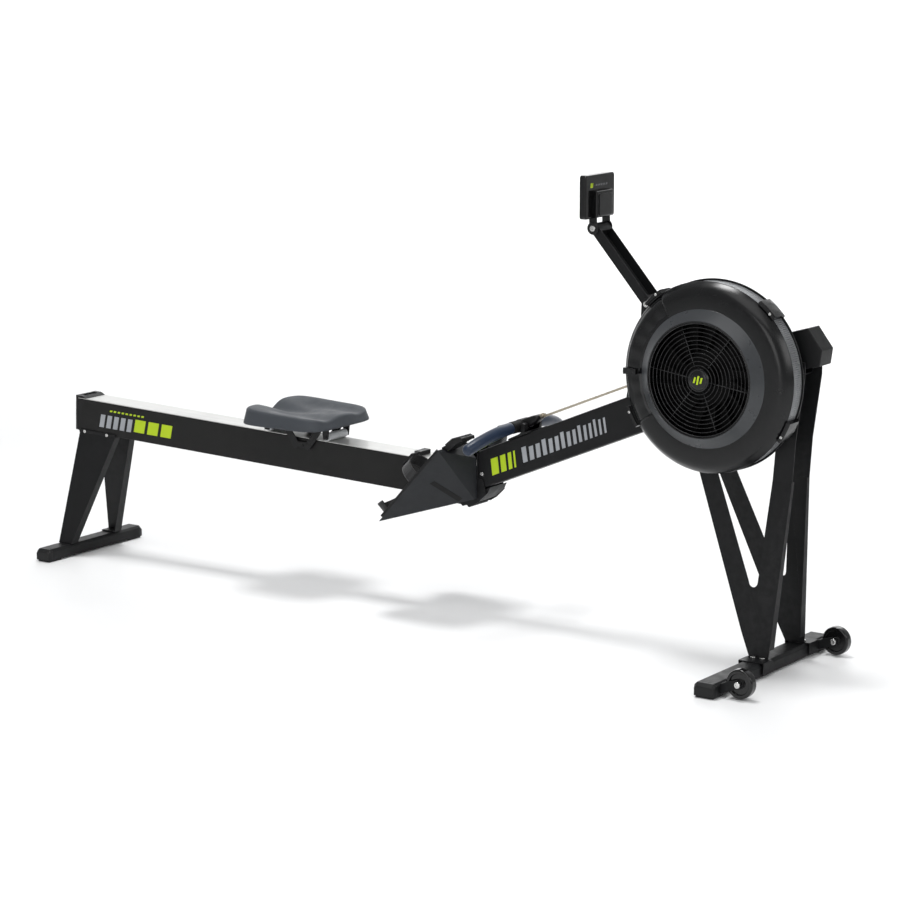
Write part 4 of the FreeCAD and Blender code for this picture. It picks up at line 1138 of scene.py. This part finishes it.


# ------------------------------------------------------------------ arm: monitor pivot knobs
def knobs():
    body = frame["nodes"]["monitor_arm"]["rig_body"]
    parts = []
    for prof in ([(9.2, -44.6), (14.6, -44.6), (16.4, -43.2), (16.4, -41.8), (9.2, -41.8)],
                 [(9.2, 28.4), (14.6, 28.4), (16.4, 27.2), (16.4, 25.8), (9.2, 25.8)]):
        o = revolve("kn", prof, "plastic_black", -540.0, 1083.0, 64)
        auto_smooth(o.data, 35)
        parts.append(o)
    k = join("arm_knobs", parts)
    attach(k, body)


knobs()


# ------------------------------------------------------------------ dark strip pressed in each gusset; filler plates by the boom's end
def strips():
    for nm, sd in (("near", -1), ("far", 1)):
        A, T, R = P(-1136, sd * 166, 262), P(-938.7, sd * 166, 477.3), P(-896, sd * 60, 333)
        nrm = (T - A).cross(R - A).normalized()
        if nrm.y * sd < 0:
            nrm = -nrm
        quad = [(0.465, 0.245), (0.490, 0.276), (0.066, 0.835), (0.030, 0.815)]
        bm = bmesh.new()
        lo = [bm.verts.new(A + (T - A) * u + (R - A) * v - nrm * 0.0003) for u, v in quad]
        hi = [bm.verts.new(A + (T - A) * u + (R - A) * v + nrm * 0.0006) for u, v in quad]
        bm.faces.new(lo)
        bm.faces.new(hi[::-1])
        for q in range(4):
            bm.faces.new((lo[q], hi[q], hi[(q + 1) % 4], lo[(q + 1) % 4]))
        o = from_bm("gusset_strip_" + nm, bm, "rubber_black", False)
        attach(o, "root")
        bm = bmesh.new()
        y0, y1 = (34.6, 45.4) if sd > 0 else (-45.4, -34.6)
        pts = [(-898.2, 356), (-894.4, 357), (-894.4, 458), (-898.2, 456)]
        lo = [bm.verts.new(P(x, y0, z)) for x, z in pts]
        hi = [bm.verts.new(P(x, y1, z)) for x, z in pts]
        bm.faces.new(lo)
        bm.faces.new(hi[::-1])
        for q in range(4):
            bm.faces.new((lo[q], hi[q], hi[(q + 1) % 4], lo[(q + 1) % 4]))
        o = from_bm("boom_end_plate_" + nm, bm, "powder_black", False)
        bevel(o, 0.0006, 2, weighted=False)
        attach(o, "root")


strips()


# ------------------------------------------------------------------ toe ribs behind each fin
for nm, sd in (("near", -1), ("far", 1)):
    bm = bmesh.new()
    for k in range(5):
        yy = sd * 110 - 24 + 12 * k
        prof = [(-936, 488.0), (-915, 505.4), (-892, 514.4), (-884, 513.4), (-891, 517.2), (-917, 508.4), (-939, 489.6)]
        lo = [bm.verts.new(P(x, yy - 1.2, z)) for x, z in prof]
        hi = [bm.verts.new(P(x, yy + 1.2, z)) for x, z in prof]
        bm.faces.new(lo)
        bm.faces.new(hi[::-1])
        for q in range(len(prof)):
            q2 = (q + 1) % len(prof)
            bm.faces.new((lo[q], hi[q], hi[q2], lo[q2]))
    o = from_bm("fin_ribs_" + nm, bm, "plastic_black", False)
    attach(o, "root")

# ------------------------------------------------------------------ stage, light and camera
def stage():
    k = NT("floor_white")
    k.color(k.ramp(k.noise(1.5, 2), [(0.3, (0.88, 0.885, 0.89)), (0.7, (0.90, 0.905, 0.91))]))
    k.rough(k.maprange(k.noise(6, 3), 0.3, 0.7, 0.5, 0.6))
    bm = bmesh.new()
    r, zc = 30.0, 0.0
    n = 24
    prof = [(-30.0, 0.0), (5.0, 0.0)] + [(5.0 + 6 * math.sin(math.pi / 2 * i / n), 6 - 6 * math.cos(math.pi / 2 * i / n)) for i in range(1, n + 1)] + [(11.0, 30.0)]
    d = Vector((-math.sin(math.radians(34.8)), math.cos(math.radians(34.8)), 0))
    s = Vector((d.y, -d.x, 0))
    rows = []
    for u, z in prof:
        rows.append([bm.verts.new(d * u + s * w + Vector((0, 0, z))) for w in (-30, 30)])
    for a, b in zip(rows[:-1], rows[1:]):
        bm.faces.new((a[0], a[1], b[1], b[0]))
    o = from_bm("backdrop", bm, "floor_white")


stage()


def area(name, loc, target, size, power, col=(1, 1, 1), size_y=None):
    l = bpy.data.lights.new(name, "AREA")
    l.energy = power
    l.color = col
    l.size = size
    if size_y:
        l.shape = "RECTANGLE"
        l.size_y = size_y
    o = bpy.data.objects.new(name, l)
    o.location = loc
    o.rotation_euler = (Vector(target) - Vector(loc)).to_track_quat("-Z", "Y").to_euler()
    scene.collection.objects.link(o)


w = bpy.data.worlds.new("studio")
scene.world = w
w.use_nodes = True
w.node_tree.nodes["Background"].inputs[0].default_value = (1, 1, 1, 1)
w.node_tree.nodes["Background"].inputs[1].default_value = 0.40
area("overhead", (-0.35, 0.1, 6.6), (-0.35, 0.1, 0.0), 1.5, 215)
area("key", (1.8, -3.0, 5.6), (0, 0, 0.3), 4.2, 75)
area("side", (5.5, -0.8, 2.6), (0.8, 0, 0.7), 2.2, 48)
area("back", (-1.0, 5.0, 3.6), (0, 0, 0.5), 3.0, 50)
area("fill", (2.0, -6.8, 2.0), (0, 0, 0.5), 3.0, 60)
DV = Vector((-math.sin(math.radians(34.8)), math.cos(math.radians(34.8)), 0))
area("wash", DV * 5.0 + Vector((0, 0, 5.6)), DV * 11.0 + Vector((0, 0, 3.2)), 16.0, 760, size_y=3.0)

AZ, EL, ROLL, F = math.radians(34.8), math.radians(11.1), math.radians(-0.1), 2976.3
cd = bpy.data.cameras.new("cam")
cd.lens = 36.0 * F / 900.0
cd.sensor_width = 36.0
cd.clip_end = 200
cam = bpy.data.objects.new("cam", cd)
back = Vector((math.sin(AZ) * math.cos(EL), -math.cos(AZ) * math.cos(EL), math.sin(EL)))
right = Vector((math.cos(AZ), math.sin(AZ), 0))
upv = back.cross(right)
M = Matrix((right, upv, back)).transposed().to_4x4()
M = M @ Matrix.Rotation(ROLL, 4, "Z")
M.translation = P(3495.3, -6491.6, 1995.6)
cam.matrix_world = M
scene.collection.objects.link(cam)
scene.camera = cam
scene.view_settings.view_transform = "Standard"
